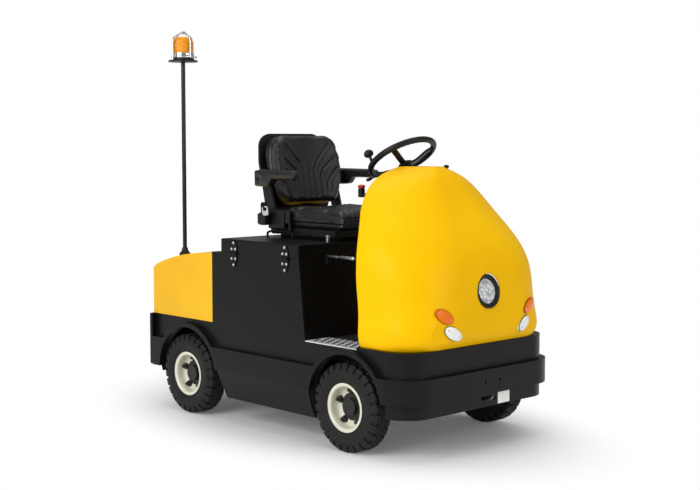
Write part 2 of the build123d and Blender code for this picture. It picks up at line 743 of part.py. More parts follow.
# Oval lamps on the facets
for node, out, up in LAMPS:
    with BuildPart() as lamps:
        for name, side in SIDES:
            with BuildSketch(facet_plane(side).offset(-LAMP_BACK)):
                with Locations((side * out, up)):
                    Ellipse(LAMP_A, LAMP_B, rotation=side * LAMP_TILT)
            extrude(amount=LAMP_BACK + LAMP_PROUD)
    save(lamps, node)

# Tail lamps on the rear cover
TAIL_LAMP_Y = PANEL_HALF - 105
TAIL_LAMP_Z = REAR_TOP + 138
TAIL_LAMP_R = 40
TAIL_LAMP_T = 16
with BuildPart() as tail_lamps:
    for name, side in SIDES:
        with BuildSketch(Plane.YZ.offset(COVER_REAR)):
            with Locations((side * TAIL_LAMP_Y, TAIL_LAMP_Z)):
                Circle(TAIL_LAMP_R)
        extrude(amount=-TAIL_LAMP_T)
    fillet(tail_lamps.edges().group_by(Axis.X)[0], TAIL_LAMP_T / 3)
save(tail_lamps, "tail_lamps")

# Dash: the black panel that closes the top of the cowl behind the rim
COLUMN_PLANE = Plane(origin=WHEEL_C, x_dir=(0, 1, 0), z_dir=COLUMN_AXIS)
DASH_LOW = BAND_TOP + 555
DASH_IN = 8
DASH_T = 44
COLUMN_TOP = WHEEL_DISH + 10
dash_outside = cowl_body(COWL_WALL + SEAT_GAP)
with BuildPart() as dash:
    add(dash_outside)
    with BuildSketch(side_plane(1, BELT_HALF)) as slab:
        add(behind_rim(DASH_IN + DASH_T))
        add(behind_rim(DASH_IN), mode=Mode.SUBTRACT)
        with Locations((WHEEL_C[0], DASH_LOW)):
            Rectangle(4 * BELT_HALF, 4 * BELT_HALF, align=(Align.CENTER, Align.MAX), mode=Mode.SUBTRACT)
    extrude(amount=2 * BELT_HALF, mode=Mode.INTERSECT)
    with BuildSketch(COLUMN_PLANE.offset(-COLUMN_TOP)):
        Circle(COLUMN_R + SEAT_GAP)
    extrude(amount=-COLUMN_L, mode=Mode.SUBTRACT)
save(dash, "dash")

# Steering column: the tilted jacket, a knuckle joint and the shaft down to the floor
KNEE_X = WHEEL_C[0] + (COLUMN_TOP + COLUMN_L) * sin(TILT)
KNEE_Z = WHEEL_C[2] - (COLUMN_TOP + COLUMN_L) * cos(TILT)
with BuildPart() as steering_column:
    with BuildSketch(COLUMN_PLANE.offset(-COLUMN_TOP)):
        Circle(COLUMN_R)
    extrude(amount=-COLUMN_L)
    with Locations((KNEE_X, 0, KNEE_Z)):
        Sphere(COLUMN_R)
    with Locations((KNEE_X, 0, FLOOR_TOP)):
        Cylinder(SHAFT_R, KNEE_Z - FLOOR_TOP, align=(Align.CENTER, Align.CENTER, Align.MIN))
save(steering_column, "steering_column")

# Steering wheel: rim, dished spokes, hub and the spinner knob
WHEEL_MID_R = WHEEL_OUTER_R - WHEEL_RIM_R
RIM_FACETS = 12
SPOKE_W = 30
SPOKE_T = 12
KNOB_ANGLE = 161
KNOB_R = 24
KNOB_POST = 14
KNOB_H = 52
with BuildPart(COLUMN_PLANE) as steering_wheel:
    with BuildSketch(Plane(origin=WHEEL_C, x_dir=COLUMN_PLANE.x_dir, z_dir=-COLUMN_PLANE.y_dir)):
        with Locations((WHEEL_MID_R, 0)):
            RegularPolygon(WHEEL_RIM_R, RIM_FACETS)
    revolve(axis=Axis(WHEEL_C, COLUMN_AXIS))
    with Locations((0, 0, -COLUMN_TOP + SEAT_GAP)):
        Cylinder(WHEEL_HUB_R, WHEEL_DISH / 2, align=(Align.CENTER, Align.CENTER, Align.MIN))
    for angle in (90, 210, 330):
        start = COLUMN_PLANE.from_local_coords(
            Vector(WHEEL_HUB_R / 2 * cos(radians(angle)), WHEEL_HUB_R / 2 * sin(radians(angle)), -WHEEL_DISH)
        )
        end = COLUMN_PLANE.from_local_coords(
            Vector(WHEEL_MID_R * cos(radians(angle)), WHEEL_MID_R * sin(radians(angle)), 0)
        )
        tangent = COLUMN_PLANE.from_local_coords(Vector(-sin(radians(angle)), cos(radians(angle)), 0))
        tangent = tangent - COLUMN_PLANE.origin
        with BuildSketch(Plane(origin=start, x_dir=tangent, z_dir=end - start)):
            RectangleRounded(SPOKE_W, SPOKE_T, SPOKE_T / 2.5)
        extrude(amount=(end - start).length)
    knob_x = WHEEL_MID_R * cos(radians(KNOB_ANGLE))
    knob_y = WHEEL_MID_R * sin(radians(KNOB_ANGLE))
    with Locations((knob_x, knob_y, 0)):
        Box(KNOB_POST, KNOB_POST, KNOB_H, align=(Align.CENTER, Align.CENTER, Align.MIN))
    with Locations((knob_x, knob_y, KNOB_H)):
        Sphere(KNOB_R)
save(steering_wheel, "steering_wheel")

# Pedals: brake and accelerator, hinged to the floor
PEDALS = (
    # Y of the middle, width
    (-60, 80),
    (-190, 64),
)
PEDAL_T = 8
PEDAL_HEEL = STEP_FRONT + 116
PEDAL_KNEE = PEDAL_HEEL + 68
PEDAL_TOE = PEDAL_KNEE + 57
PEDAL_H = 126
with BuildPart() as pedals:
    for y, width in PEDALS:
        with BuildSketch(side_plane(1, y + width / 2)):
            with BuildLine():
                Polyline(
                    (PEDAL_HEEL, FLOOR_TOP),
                    (PEDAL_KNEE, FLOOR_TOP),
                    (PEDAL_TOE, FLOOR_TOP + PEDAL_H),
                    (PEDAL_TOE - PEDAL_T, FLOOR_TOP + PEDAL_H),
                    (PEDAL_KNEE - PEDAL_T, FLOOR_TOP + PEDAL_T),
                    (PEDAL_HEEL, FLOOR_TOP + PEDAL_T),
                    close=True,
                )
            make_face()
        extrude(amount=width)
save(pedals, "pedals")

# Parking brake lever on the front of the battery box
LEVER_Y = 175 - PANEL_HALF
LEVER_Z = BOX_TOP + 9
LEVER_TIP = BOX_FRONT_TOP + 205
LEVER_R = 7
GRIP_R = 12
GRIP_L = 110
BRACKET_W = 26
BRACKET_H = 46
BRACKET_BACK = BOX_FRONT_TOP - 4
BRACKET_FRONT = BOX_FRONT_TOP + 22
with BuildPart() as brake_lever:
    with Locations((BRACKET_BACK, LEVER_Y, LEVER_Z)):
        Box(
            BRACKET_FRONT - BRACKET_BACK,
            BRACKET_W,
            BRACKET_H,
            align=(Align.MIN, Align.CENTER, Align.MAX),
        )
    with BuildSketch(side_plane(1, BELT_HALF)):
        with BuildLine():
            Polyline(
                (BOX_REAR, STEP_Z),
                (BOX_REAR, LEVER_Z + BRACKET_H),
                (BOX_FRONT_TOP, LEVER_Z + BRACKET_H),
                (BOX_FRONT_TOP, BOX_TOP),
                (BOX_FRONT_LOW, STEP_Z),
                close=True,
            )
        make_face()
    extrude(amount=2 * BELT_HALF, mode=Mode.SUBTRACT)
    with BuildSketch(Plane.YZ.offset(BOX_FRONT_TOP + LEVER_R)):
        with Locations((LEVER_Y, LEVER_Z)):
            Circle(LEVER_R)
    extrude(amount=LEVER_TIP - BOX_FRONT_TOP - LEVER_R)
    with BuildSketch(Plane.YZ.offset(LEVER_TIP - GRIP_L)):
        with Locations((LEVER_Y, LEVER_Z)):
            Circle(GRIP_R)
    extrude(amount=GRIP_L)
save(brake_lever, "brake_lever")

# Rear coupling: a back plate with two jaws and a bore for a drop pin
with BuildPart() as tow_coupling:
    with BuildSketch(Plane.YZ.offset(COVER_REAR)):
        with Locations((0, COUPLING_Z)):
            RectangleRounded(COUPLING_PAD_W, COUPLING_PAD_H, COUPLING_PAD_T)
    extrude(amount=-COUPLING_PAD_T)
    for level in (-1, 1):
        middle = COUPLING_Z + level * (COUPLING_JAW + COUPLING_PLATE_T) / 2
        with BuildSketch(Plane.XY.offset(middle - COUPLING_PLATE_T / 2)):
            with Locations((COUPLING_TAIL + COUPLING_HALF, 0)):
                Circle(COUPLING_HALF)
                Rectangle(
                    COVER_REAR - COUPLING_TAIL - COUPLING_HALF,
                    2 * COUPLING_HALF,
                    align=(Align.MIN, Align.CENTER),
                )
                Circle(COUPLING_BORE_R, mode=Mode.SUBTRACT)
        extrude(amount=COUPLING_PLATE_T)
save(tow_coupling, "tow_coupling")

# Drive axle: tube, differential, motor and the wheel spindles
AXLE_TUBE_R = 45
DIFF_R = 98
MOTOR_R = 92
MOTOR_L = 400
DIFF_W = 150
AXLE_TUBE_L = 2 * (HUB_Y - 75)
SPINDLE_END = HUB_Y + 14
with BuildPart() as drive_axle:
    with Locations(Location((-AXLE_X, 0, TYRE_R), (90, 0, 0))):
        Cylinder(AXLE_TUBE_R, AXLE_TUBE_L)
        Cylinder(SPINDLE_R, 2 * SPINDLE_END)
        Cylinder(DIFF_R, DIFF_W)
    with Locations(Location((-AXLE_X, 0, TYRE_R), (0, 90, 0))):
        Cylinder(MOTOR_R, MOTOR_L, align=(Align.CENTER, Align.CENTER, Align.MIN))
    for name, side in SIDES:
        with Locations((-AXLE_X, side * RAIL_Y, TYRE_R)):
            Box(2 * AXLE_TUBE_R, RAIL_W, RAIL_LOW - TYRE_R, align=(Align.CENTER, Align.CENTER, Align.MIN))
save(drive_axle, "drive_axle")

# Front axle: a beam with a kingpin boss at each end, packed up to the rails
BEAM_H = 50
BEAM_W = 70
with BuildPart() as front_axle:
    with Locations((AXLE_X, 0, TYRE_R)):
        Box(BEAM_W, 2 * KINGPIN_Y, BEAM_H)
    for name, side in SIDES:
        with Locations((AXLE_X, side * KINGPIN_Y, TYRE_R)):
            Box(4 * KINGPIN_BOSS_R, 3 * KINGPIN_BOSS_R, BEAM_H, mode=Mode.SUBTRACT)
        with Locations((AXLE_X, side * KINGPIN_Y, TYRE_R)):
            Cylinder(KINGPIN_BOSS_R, FORK_GAP - 2 * SEAT_GAP)
        with Locations((AXLE_X, side * (KINGPIN_Y - KINGPIN_BOSS_R), TYRE_R)):
            Box(1.6 * KINGPIN_BOSS_R, 2 * KINGPIN_BOSS_R, BEAM_H)
        with Locations((AXLE_X, side * RAIL_Y, TYRE_R)):
            Box(BEAM_W, RAIL_W, RAIL_LOW - TYRE_R, align=(Align.CENTER, Align.CENTER, Align.MIN))
    for name, side in SIDES:
        with Locations((AXLE_X, side * KINGPIN_Y, TYRE_R)):
            Cylinder(KINGPIN_R + RUNNING_FIT, 2 * FORK_GAP, mode=Mode.SUBTRACT)
save(front_axle, "front_axle")

# Steering knuckles: a fork on the kingpin, the spindle and the steering arm
FORK_R = 26
WEB_IN = KINGPIN_Y + KINGPIN_BOSS_R + 6
WEB_T = 12
FORK_TOP = TYRE_R + FORK_GAP / 2
for name, side in SIDES:
    with BuildPart() as knuckle:
        for low in (FORK_TOP, TYRE_R - FORK_GAP / 2 - FORK_T):
            with BuildSketch(Plane.XY.offset(low)):
                with Locations((AXLE_X, side * KINGPIN_Y)):
                    Circle(FORK_R)
                with Locations((AXLE_X, side * (KINGPIN_Y + WEB_IN + WEB_T) / 2)):
                    Rectangle(2 * FORK_R, WEB_IN + WEB_T - KINGPIN_Y)
            extrude(amount=FORK_T)
        with Locations((AXLE_X, side * (WEB_IN + WEB_T / 2), TYRE_R)):
            Box(2 * FORK_R, WEB_T, FORK_GAP + 2 * FORK_T)
        with Locations((AXLE_X, side * KINGPIN_Y, TYRE_R)):
            Cylinder(KINGPIN_R, FORK_GAP + 2 * FORK_T)
        with Locations(Location((AXLE_X, side * (WEB_IN + SPINDLE_END) / 2, TYRE_R), (90, 0, 0))):
            Cylinder(SPINDLE_R, SPINDLE_END - WEB_IN)
        with BuildSketch(Plane.XY.offset(TYRE_R - FORK_GAP / 2 - FORK_T)):
            with Locations((AXLE_X - ARM_L / 2, side * KINGPIN_Y)):
                SlotCenterToCenter(ARM_L, 2 * TIE_EYE_R)
        extrude(amount=ARM_T)
        with Locations((AXLE_X - ARM_L, side * KINGPIN_Y, TYRE_R - FORK_GAP / 2 - FORK_T)):
            Cylinder(TIE_PIN_R, 2 * TIE_R + SEAT_GAP, align=(Align.CENTER, Align.CENTER, Align.MAX))
    save(knuckle, f"knuckle_{name}")

# Tie rod: one bar with an eye on each steering arm's pin
TIE_Z = TYRE_R - FORK_GAP / 2 - FORK_T - SEAT_GAP - TIE_R
with BuildPart() as tie_rod:
    with Locations(Location((AXLE_X - ARM_L, 0, TIE_Z), (90, 0, 0))):
        Cylinder(TIE_R - 1, 2 * KINGPIN_Y)
    for name, side in SIDES:
        with Locations((AXLE_X - ARM_L, side * KINGPIN_Y, TIE_Z)):
            Cylinder(TIE_EYE_R, 2 * TIE_R)
    for name, side in SIDES:
        with Locations((AXLE_X - ARM_L, side * KINGPIN_Y, TIE_Z)):
            Cylinder(TIE_PIN_R + RUNNING_FIT, 4 * TIE_R, mode=Mode.SUBTRACT)
save(tie_rod, "tie_rod")

# Wheels: tyre, dished steel wheel and hub at each corner
for name, x, side in CORNERS:
    centre = (x, side * HUB_Y, TYRE_R)
    axis = Axis(centre, (0, 1, 0))
    with BuildPart() as tyre:
        with BuildSketch(axial_plane(*centre)):
            with BuildLine():
                Line((-RIM_W / 2, RIM_SEAT_R + SEAT_GAP), (RIM_W / 2, RIM_SEAT_R + SEAT_GAP))
                Line((RIM_W / 2, RIM_SEAT_R + SEAT_GAP), (RIM_W / 2, RIM_FLANGE_R + 1))
                ThreePointArc(
                    (RIM_W / 2, RIM_FLANGE_R + 1),
                    (TYRE_W / 2, (RIM_FLANGE_R + TYRE_R) / 2),
                    (TREAD_W / 2 + SHOULDER_OUT, TYRE_R - SHOULDER_H),
                )
                Line((TREAD_W / 2 + SHOULDER_OUT, TYRE_R - SHOULDER_H), (TREAD_W / 2 - SHOULDER_IN, TYRE_R))
                Line((TREAD_W / 2 - SHOULDER_IN, TYRE_R), (-TREAD_W / 2 + SHOULDER_IN, TYRE_R))
                Line((-TREAD_W / 2 + SHOULDER_IN, TYRE_R), (-TREAD_W / 2 - SHOULDER_OUT, TYRE_R - SHOULDER_H))
                ThreePointArc(
                    (-TREAD_W / 2 - SHOULDER_OUT, TYRE_R - SHOULDER_H),
                    (-TYRE_W / 2, (RIM_FLANGE_R + TYRE_R) / 2),
                    (-RIM_W / 2, RIM_FLANGE_R + 1),
                )
                Line((-RIM_W / 2, RIM_FLANGE_R + 1), (-RIM_W / 2, RIM_SEAT_R + SEAT_GAP))
            make_face()
        revolve(axis=axis)
        for edge in (-1, 1):
            around = Plane(
                origin=(x, side * HUB_Y + edge * TYRE_W / 2, TYRE_R), x_dir=(1, 0, 0), z_dir=(0, edge, 0)
            )
            with Locations(around):
                with PolarLocations(TYRE_R, LUGS, start_angle=(1 + edge) * 90 / LUGS):
                    with Locations(Location((0, 0, 0), (0, 45, 0))):
                        Box(3 * LUG_DEEP, LUG_GAP, 3 * LUG_DEEP, mode=Mode.SUBTRACT)
    save(tyre, f"tyre_{name}")

    disc = RIM_W / 2 - DISC_DEPTH
    with BuildPart() as wheel:
        with BuildSketch(axial_plane(*centre)):
            with BuildLine():
                Polyline(
                    (-side * (RIM_W / 2 + RIM_WALL), RIM_FLANGE_R),
                    (-side * (RIM_W / 2 + SEAT_GAP), RIM_FLANGE_R),
                    (-side * (RIM_W / 2 + SEAT_GAP), RIM_SEAT_R),
                    (side * (RIM_W / 2 + SEAT_GAP), RIM_SEAT_R),
                    (side * (RIM_W / 2 + SEAT_GAP), RIM_FLANGE_R),
                    (side * (RIM_W / 2 + RIM_WALL), RIM_FLANGE_R),
                    (side * (RIM_W / 2 + RIM_WALL), RIM_SEAT_R - RIM_WALL),
                    (side * disc, RIM_SEAT_R - RIM_WALL - 4),
                    (side * disc, HUB_BORE_R),
                    (side * (disc - DISC_T), HUB_BORE_R),
                    (side * (disc - DISC_T), RIM_SEAT_R - RIM_WALL),
                    (-side * (RIM_W / 2 + RIM_WALL), RIM_SEAT_R - RIM_WALL),
                    close=True,
                )
            make_face()
        revolve(axis=axis)
    save(wheel, f"wheel_{name}")

    with BuildPart() as hub:
        with BuildSketch(axial_plane(*centre)):
            with BuildLine():
                Polyline(
                    (side * (disc - DISC_T - HUB_FLANGE_T), SPINDLE_R + RUNNING_FIT),
                    (side * (disc - DISC_T - HUB_FLANGE_T), RIM_SEAT_R - RIM_WALL - 6),
                    (side * (disc - DISC_T), RIM_SEAT_R - RIM_WALL - 6),
                    (side * (disc - DISC_T), HUB_BORE_R - SEAT_GAP),
                    (side * (disc + HUB_PILOT), HUB_BORE_R - SEAT_GAP),
                    (side * (disc + HUB_PILOT), HUB_CAP_R),
                    (side * (disc + HUB_CAP_OUT), HUB_CAP_R),
                    (side * (disc + HUB_CAP_OUT), 0),
                    (side * (disc + HUB_CAP_OUT - HUB_CAP_T), 0),
                    (side * (disc + HUB_CAP_OUT - HUB_CAP_T), SPINDLE_R + RUNNING_FIT),
                    close=True,
                )
            make_face()
        revolve(axis=axis)
    save(hub, f"hub_{name}")

# Seat rails on the lid
with BuildPart() as seat_rails:
    for name, side in SIDES:
        with Locations(((SEAT_REAR + SEAT_FRONT) / 2, side * RAIL_SEAT_Y, LID_TOP)):
            Box(
                SEAT_FRONT - SEAT_REAR - 20,
                SEAT_RAIL_W,
                SEAT_RAIL_H,
                align=(Align.CENTER, Align.CENTER, Align.MIN),
            )
save(seat_rails, "seat_rails")

# Seat base with the pins that the backrest turns on
with BuildPart() as seat_base:
    with Locations(((SEAT_REAR + SEAT_FRONT) / 2, 0, SEAT_BASE_LOW)):
        Box(
            SEAT_FRONT - SEAT_REAR,
            2 * SEAT_HALF,
            SEAT_BASE_H,
            align=(Align.CENTER, Align.CENTER, Align.MIN),
        )
    with Locations(Location((BACK_PIVOT_X, 0, BACK_PIVOT_Z), (90, 0, 0))):
        Cylinder(BACK_PIVOT_R, 2 * (SEAT_HALF + BACK_PIN_OUT))
save(seat_base, "seat_base")

# Seat cushion: a crowned block with a rolled front edge and round corners
with BuildPart() as seat_cushion:
    with BuildSketch(side_plane(1, CUSHION_HALF)):
        with BuildLine():
            Line((CUSHION_REAR, CUSHION_LOW), (CUSHION_FRONT - CUSHION_NOSE, CUSHION_LOW))
            ThreePointArc(
                (CUSHION_FRONT - CUSHION_NOSE, CUSHION_LOW),
                (CUSHION_FRONT, CUSHION_LOW + CUSHION_NOSE),
                (CUSHION_FRONT - CUSHION_NOSE, CUSHION_LOW + 2 * CUSHION_NOSE),
            )
            Line(
                (CUSHION_FRONT - CUSHION_NOSE, CUSHION_LOW + 2 * CUSHION_NOSE),
                (CUSHION_REAR + CUSHION_EDGE_R, CUSHION_LOW + CUSHION_H),
            )
            Line(
                (CUSHION_REAR + CUSHION_EDGE_R, CUSHION_LOW + CUSHION_H),
                (CUSHION_REAR, CUSHION_LOW + CUSHION_H - CUSHION_EDGE_R),
            )
            Line((CUSHION_REAR, CUSHION_LOW + CUSHION_H - CUSHION_EDGE_R), (CUSHION_REAR, CUSHION_LOW))
        make_face()
    extrude(amount=2 * CUSHION_HALF)
    fillet(seat_cushion.edges().filter_by(Axis.Z), CUSHION_EDGE_R)
save(seat_cushion, "seat_cushion")

# Backrest: one outline serves the pad and, drawn larger, the shell behind it
BACK_UP = Vector(-BACK_SLOPE, 0, 1).normalized()
BACK_FACE = Plane(
    origin=(BACK_LOW_X, 0, BACK_BOTTOM), x_dir=(0, 1, 0), z_dir=(BACK_UP.Z, 0, -BACK_UP.X)
)
ARM_PLATE_T = 16
ARM_PIN_L = 44
ARM_PIN_Y = SHELL_HALF + 18
ARM_PLATE_HALF = 20


def back_x(z):
    """X of the pad's front face at a height, on the centre line."""
    return BACK_LOW_X - BACK_SLOPE * (z - BACK_BOTTOM)


def back_outline(grow):
    """Front view of the backrest: wide at the shoulders, narrower at its foot and head, round corners."""
    with BuildSketch() as view:
        with BuildLine():
            Polyline(
                (-BACK_FOOT_HALF - grow, -grow),
                (-BACK_HALF - grow, 0.36 * BACK_H),
                (-BACK_HALF - grow, 0.66 * BACK_H),
                (-BACK_HEAD_HALF - grow, BACK_H + grow),
                (BACK_HEAD_HALF + grow, BACK_H + grow),
                (BACK_HALF + grow, 0.66 * BACK_H),
                (BACK_HALF + grow, 0.36 * BACK_H),
                (BACK_FOOT_HALF + grow, -grow),
                close=True,
            )
        make_face()
        fillet(view.vertices().group_by(Axis.Y)[-1], BACK_HEAD_R)
        fillet(view.vertices().group_by(Axis.Y)[0], BACK_FOOT_R)
    return view.sketch


pad_outline = back_outline(0)
shell_outline = back_outline(SHELL_PROUD)

# Backrest frame: two side arms on the pins and the shell behind the pad
with BuildPart() as seat_back_frame:
    with BuildSketch(BACK_FACE.offset(-SHELL_BACK)):
        add(shell_outline)
    extrude(amount=SHELL_T - SEAT_GAP)
    for name, side in SIDES:
        with BuildSketch(side_plane(side, SHELL_HALF)):
            with BuildLine():
                Polyline(
                    (BACK_PIVOT_X + ARM_PLATE_HALF, SEAT_BASE_LOW + SEAT_GAP),
                    (BACK_PIVOT_X + ARM_PLATE_HALF, CUSHION_LOW + ARM_PLATE_HALF),
                    (back_x(ARM_TOP) - BACK_T / 2, ARM_TOP),
                    (back_x(ARM_TOP) - SHELL_BACK, ARM_TOP),
                    (back_x(BACK_BOTTOM) - SHELL_BACK, BACK_BOTTOM),
                    (BACK_PIVOT_X - ARM_PLATE_HALF, SEAT_BASE_LOW + SEAT_GAP),
                    close=True,
                )
            make_face()
        extrude(amount=side * ARM_PLATE_T)
        with Locations(Location((ARM_PIVOT_X, side * ARM_PIN_Y, ARM_PIVOT_Z), (90, 0, 0))):
            Cylinder(ARM_PIVOT_R, ARM_PIN_L)
    with Locations(Location((BACK_PIVOT_X, 0, BACK_PIVOT_Z), (90, 0, 0))):
        Cylinder(BACK_PIVOT_R + RUNNING_FIT, 4 * SHELL_HALF, mode=Mode.SUBTRACT)
save(seat_back_frame, "seat_back_frame")

# Backrest pad: the outline made thick, with its front hollowed so that the sides stand forwards as wings
with BuildPart() as seat_back_pad:
    with BuildSketch(BACK_FACE.offset(-BACK_T)):
        add(pad_outline)
    extrude(amount=BACK_T + BACK_WING)
    with BuildSketch(Plane(origin=BACK_FACE.origin, x_dir=(0, 1, 0), z_dir=BACK_UP).offset(-BACK_H)):
        with BuildLine():
            ThreePointArc((-2 * BACK_HALF, -3 * BACK_WING), (0, 0), (2 * BACK_HALF, -3 * BACK_WING))
            Polyline(
                (2 * BACK_HALF, -3 * BACK_WING),
                (2 * BACK_HALF, -4 * BACK_WING),
                (-2 * BACK_HALF, -4 * BACK_WING),
                (-2 * BACK_HALF, -3 * BACK_WING),
            )
        make_face()
    extrude(amount=3 * BACK_H, mode=Mode.SUBTRACT)
save(seat_back_pad, "seat_back_pad")

# Armrests that fold up on the backrest's pins
for name, side in SIDES:
    with BuildPart() as armrest:
        with BuildSketch(side_plane(side, ARM_OUT)) as outline:
            with BuildLine():
                Polyline(
                    (ARM_REAR, ARM_LOW),
                    (ARM_STEP[0], ARM_LOW),
                    (ARM_STEP[1], ARM_TOP - ARM_THIN - ARM_CORNER),
                    (ARM_FRONT, ARM_TOP - ARM_THIN),
                    (ARM_FRONT, ARM_TOP),
                    (ARM_REAR, ARM_TOP),
                    close=True,
                )
            make_face()
            fillet(outline.vertices(), ARM_CORNER)
        extrude(amount=side * (ARM_OUT - ARM_IN))
        with Locations(Location((ARM_PIVOT_X, side * ARM_PIN_Y, ARM_PIVOT_Z), (90, 0, 0))):
            Cylinder(ARM_PIVOT_R + RUNNING_FIT, 2 * ARM_PIN_L, mode=Mode.SUBTRACT)
    save(armrest, f"armrest_{name}")

# Belt buckle on its stalk at the right of the seat base
BUCKLE_X = SEAT_REAR + 140
BUCKLE_IN = CUSHION_HALF + 3
BUCKLE_L = 34
BUCKLE_H = 64
BUCKLE_T = 18
STALK_T = 5
STALK_H = 60
with BuildPart() as belt_buckle:
    with Locations((BUCKLE_X, -SEAT_HALF, BACK_PIVOT_Z)):
        Box(
            BUCKLE_L - 2 * STALK_T,
            BUCKLE_IN + STALK_T - SEAT_HALF,
            BUCKLE_L - 2 * STALK_T,
            align=(Align.CENTER, Align.MAX, Align.CENTER),
        )
    with Locations((BUCKLE_X, -BUCKLE_IN, BACK_PIVOT_Z)):
        Box(BUCKLE_L / 2, STALK_T, STALK_H, align=(Align.CENTER, Align.MAX, Align.MIN))
    with Locations((BUCKLE_X, -BUCKLE_IN, BACK_PIVOT_Z + STALK_H - BUCKLE_T)):
        Box(BUCKLE_L, BUCKLE_T, BUCKLE_H, align=(Align.CENTER, Align.MAX, Align.MIN))
save(belt_buckle, "belt_buckle")

# Beacon: pole on the rear cover, base with its wire guard, amber lens
POLE_FOOT_Z = COVER_MID_Z - POLE_FOOT_H + 8
with BuildPart() as beacon_pole:
    with Locations((POLE_X, POLE_Y, POLE_FOOT_Z)):
        Cylinder(POLE_R, POLE_TOP - POLE_FOOT_Z, align=(Align.CENTER, Align.CENTER, Align.MIN))
        Cylinder(POLE_FOOT_R, POLE_FOOT_H, align=(Align.CENTER, Align.CENTER, Align.MIN))
    with BuildSketch(side_plane(1, BELT_HALF)):
        add(cover_view(0))
    extrude(amount=2 * BELT_HALF, mode=Mode.SUBTRACT)
save(beacon_pole, "beacon_pole")

BEACON_LOW = POLE_TOP + BEACON_RING_H
with BuildPart() as beacon_base:
    with Locations((POLE_X, POLE_Y, POLE_TOP)):
        Cylinder(BEACON_PLATE_R, BEACON_PLATE_T, align=(Align.CENTER, Align.CENTER, Align.MIN))
        Cylinder(BEACON_RING_R, BEACON_RING_H, align=(Align.CENTER, Align.CENTER, Align.MIN))
    for turn, drop in ((0, 0), (90, GUARD_WIRE_R)):
        across = (cos(radians(turn)), sin(radians(turn)), 0)
        hoop = Plane(
            origin=(POLE_X, POLE_Y, POLE_TOP), x_dir=across, z_dir=(across[1], -across[0], 0)
        )
        with BuildLine(hoop) as wire:
            Line((-GUARD_R, BEACON_PLATE_T / 2), (-GUARD_R, GUARD_BEND))
            ThreePointArc(
                (-GUARD_R, GUARD_BEND),
                (0, BEACON_TOP - POLE_TOP - GUARD_WIRE_R - drop),
                (GUARD_R, GUARD_BEND),
            )
            Line((GUARD_R, GUARD_BEND), (GUARD_R, BEACON_PLATE_T / 2))
        with BuildSketch(Plane(origin=wire.line @ 0, z_dir=wire.line % 0)):
            Circle(GUARD_WIRE_R)
        sweep(path=wire.line)
save(beacon_base, "beacon_base")

with BuildPart() as beacon_lens:
    with Locations((POLE_X, POLE_Y, BEACON_LOW)):
        Cylinder(BEACON_R, BEACON_LENS_H, align=(Align.CENTER, Align.CENTER, Align.MIN))
    fillet(beacon_lens.edges().sort_by(Axis.Z)[-1], BEACON_CROWN_R)
save(beacon_lens, "beacon_lens")
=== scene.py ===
# %% [markdown]
# An electric tow tractor, dressed for a studio picture. The solid parts come ready made, each at its true
# place, and they are never moved or reshaped here. This file gives them their finishes and adds what is too
# small or too soft for solid modelling: tyre tread, nuts and bolts, lenses, the sewn seat, the belt and the
# small controls.

# %% Load the solid parts
import math

import bmesh
import bpy
import numpy as np
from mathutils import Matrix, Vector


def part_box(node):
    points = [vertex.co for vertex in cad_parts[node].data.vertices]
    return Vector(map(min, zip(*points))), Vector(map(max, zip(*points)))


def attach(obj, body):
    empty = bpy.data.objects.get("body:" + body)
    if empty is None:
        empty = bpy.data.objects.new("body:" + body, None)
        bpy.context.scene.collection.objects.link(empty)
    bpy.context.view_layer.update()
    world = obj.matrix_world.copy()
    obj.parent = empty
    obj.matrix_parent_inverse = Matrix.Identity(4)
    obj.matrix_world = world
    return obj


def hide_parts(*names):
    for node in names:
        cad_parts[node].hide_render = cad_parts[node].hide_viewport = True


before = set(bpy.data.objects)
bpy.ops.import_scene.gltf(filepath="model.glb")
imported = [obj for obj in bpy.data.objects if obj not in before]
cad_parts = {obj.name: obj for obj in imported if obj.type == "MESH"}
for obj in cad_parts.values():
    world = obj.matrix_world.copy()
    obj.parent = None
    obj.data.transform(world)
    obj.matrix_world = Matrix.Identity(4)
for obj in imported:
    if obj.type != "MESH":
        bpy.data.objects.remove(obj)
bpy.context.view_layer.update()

MM = 0.001
SIDES = (("right", -1), ("left", 1))
AXLE_X, WHEEL_Y, AXLE_Z = 0.606, 0.475, 0.210
CORNERS = [
    # name, X of the axle in metres, side of the vehicle
    (f"{end}_{name}", ahead * AXLE_X, side)
    for end, ahead in (("front", 1), ("rear", -1)) for name, side in SIDES
]

# %% [markdown]
# Every new piece is a grid of points worked out with numpy, so the helpers below turn whole arrays into
# meshes. A shape is a pair: its points in metres, and its faces as numbers of points. A grid has rows and
# columns, and a face joins a point to its neighbours. Rings close on themselves, and poles, where a row
# shrinks to one point, are merged so that the skin has no hole.


# %% Mesh helpers
def grid_faces(rows, columns, wrap_rows=False, wrap_columns=False):
    """Quads of a grid numbered row by row: each joins a point to the next along its row and its column."""
    r = np.arange(rows if wrap_rows else rows - 1)[:, None]
    c = np.arange(columns if wrap_columns else columns - 1)[None, :]
    below, beside = (r + 1) % rows, (c + 1) % columns
    corners = (r * columns + c, r * columns + beside, below * columns + beside, below * columns + c)
    return np.stack(np.broadcast_arrays(*corners), -1).reshape(-1, 4)


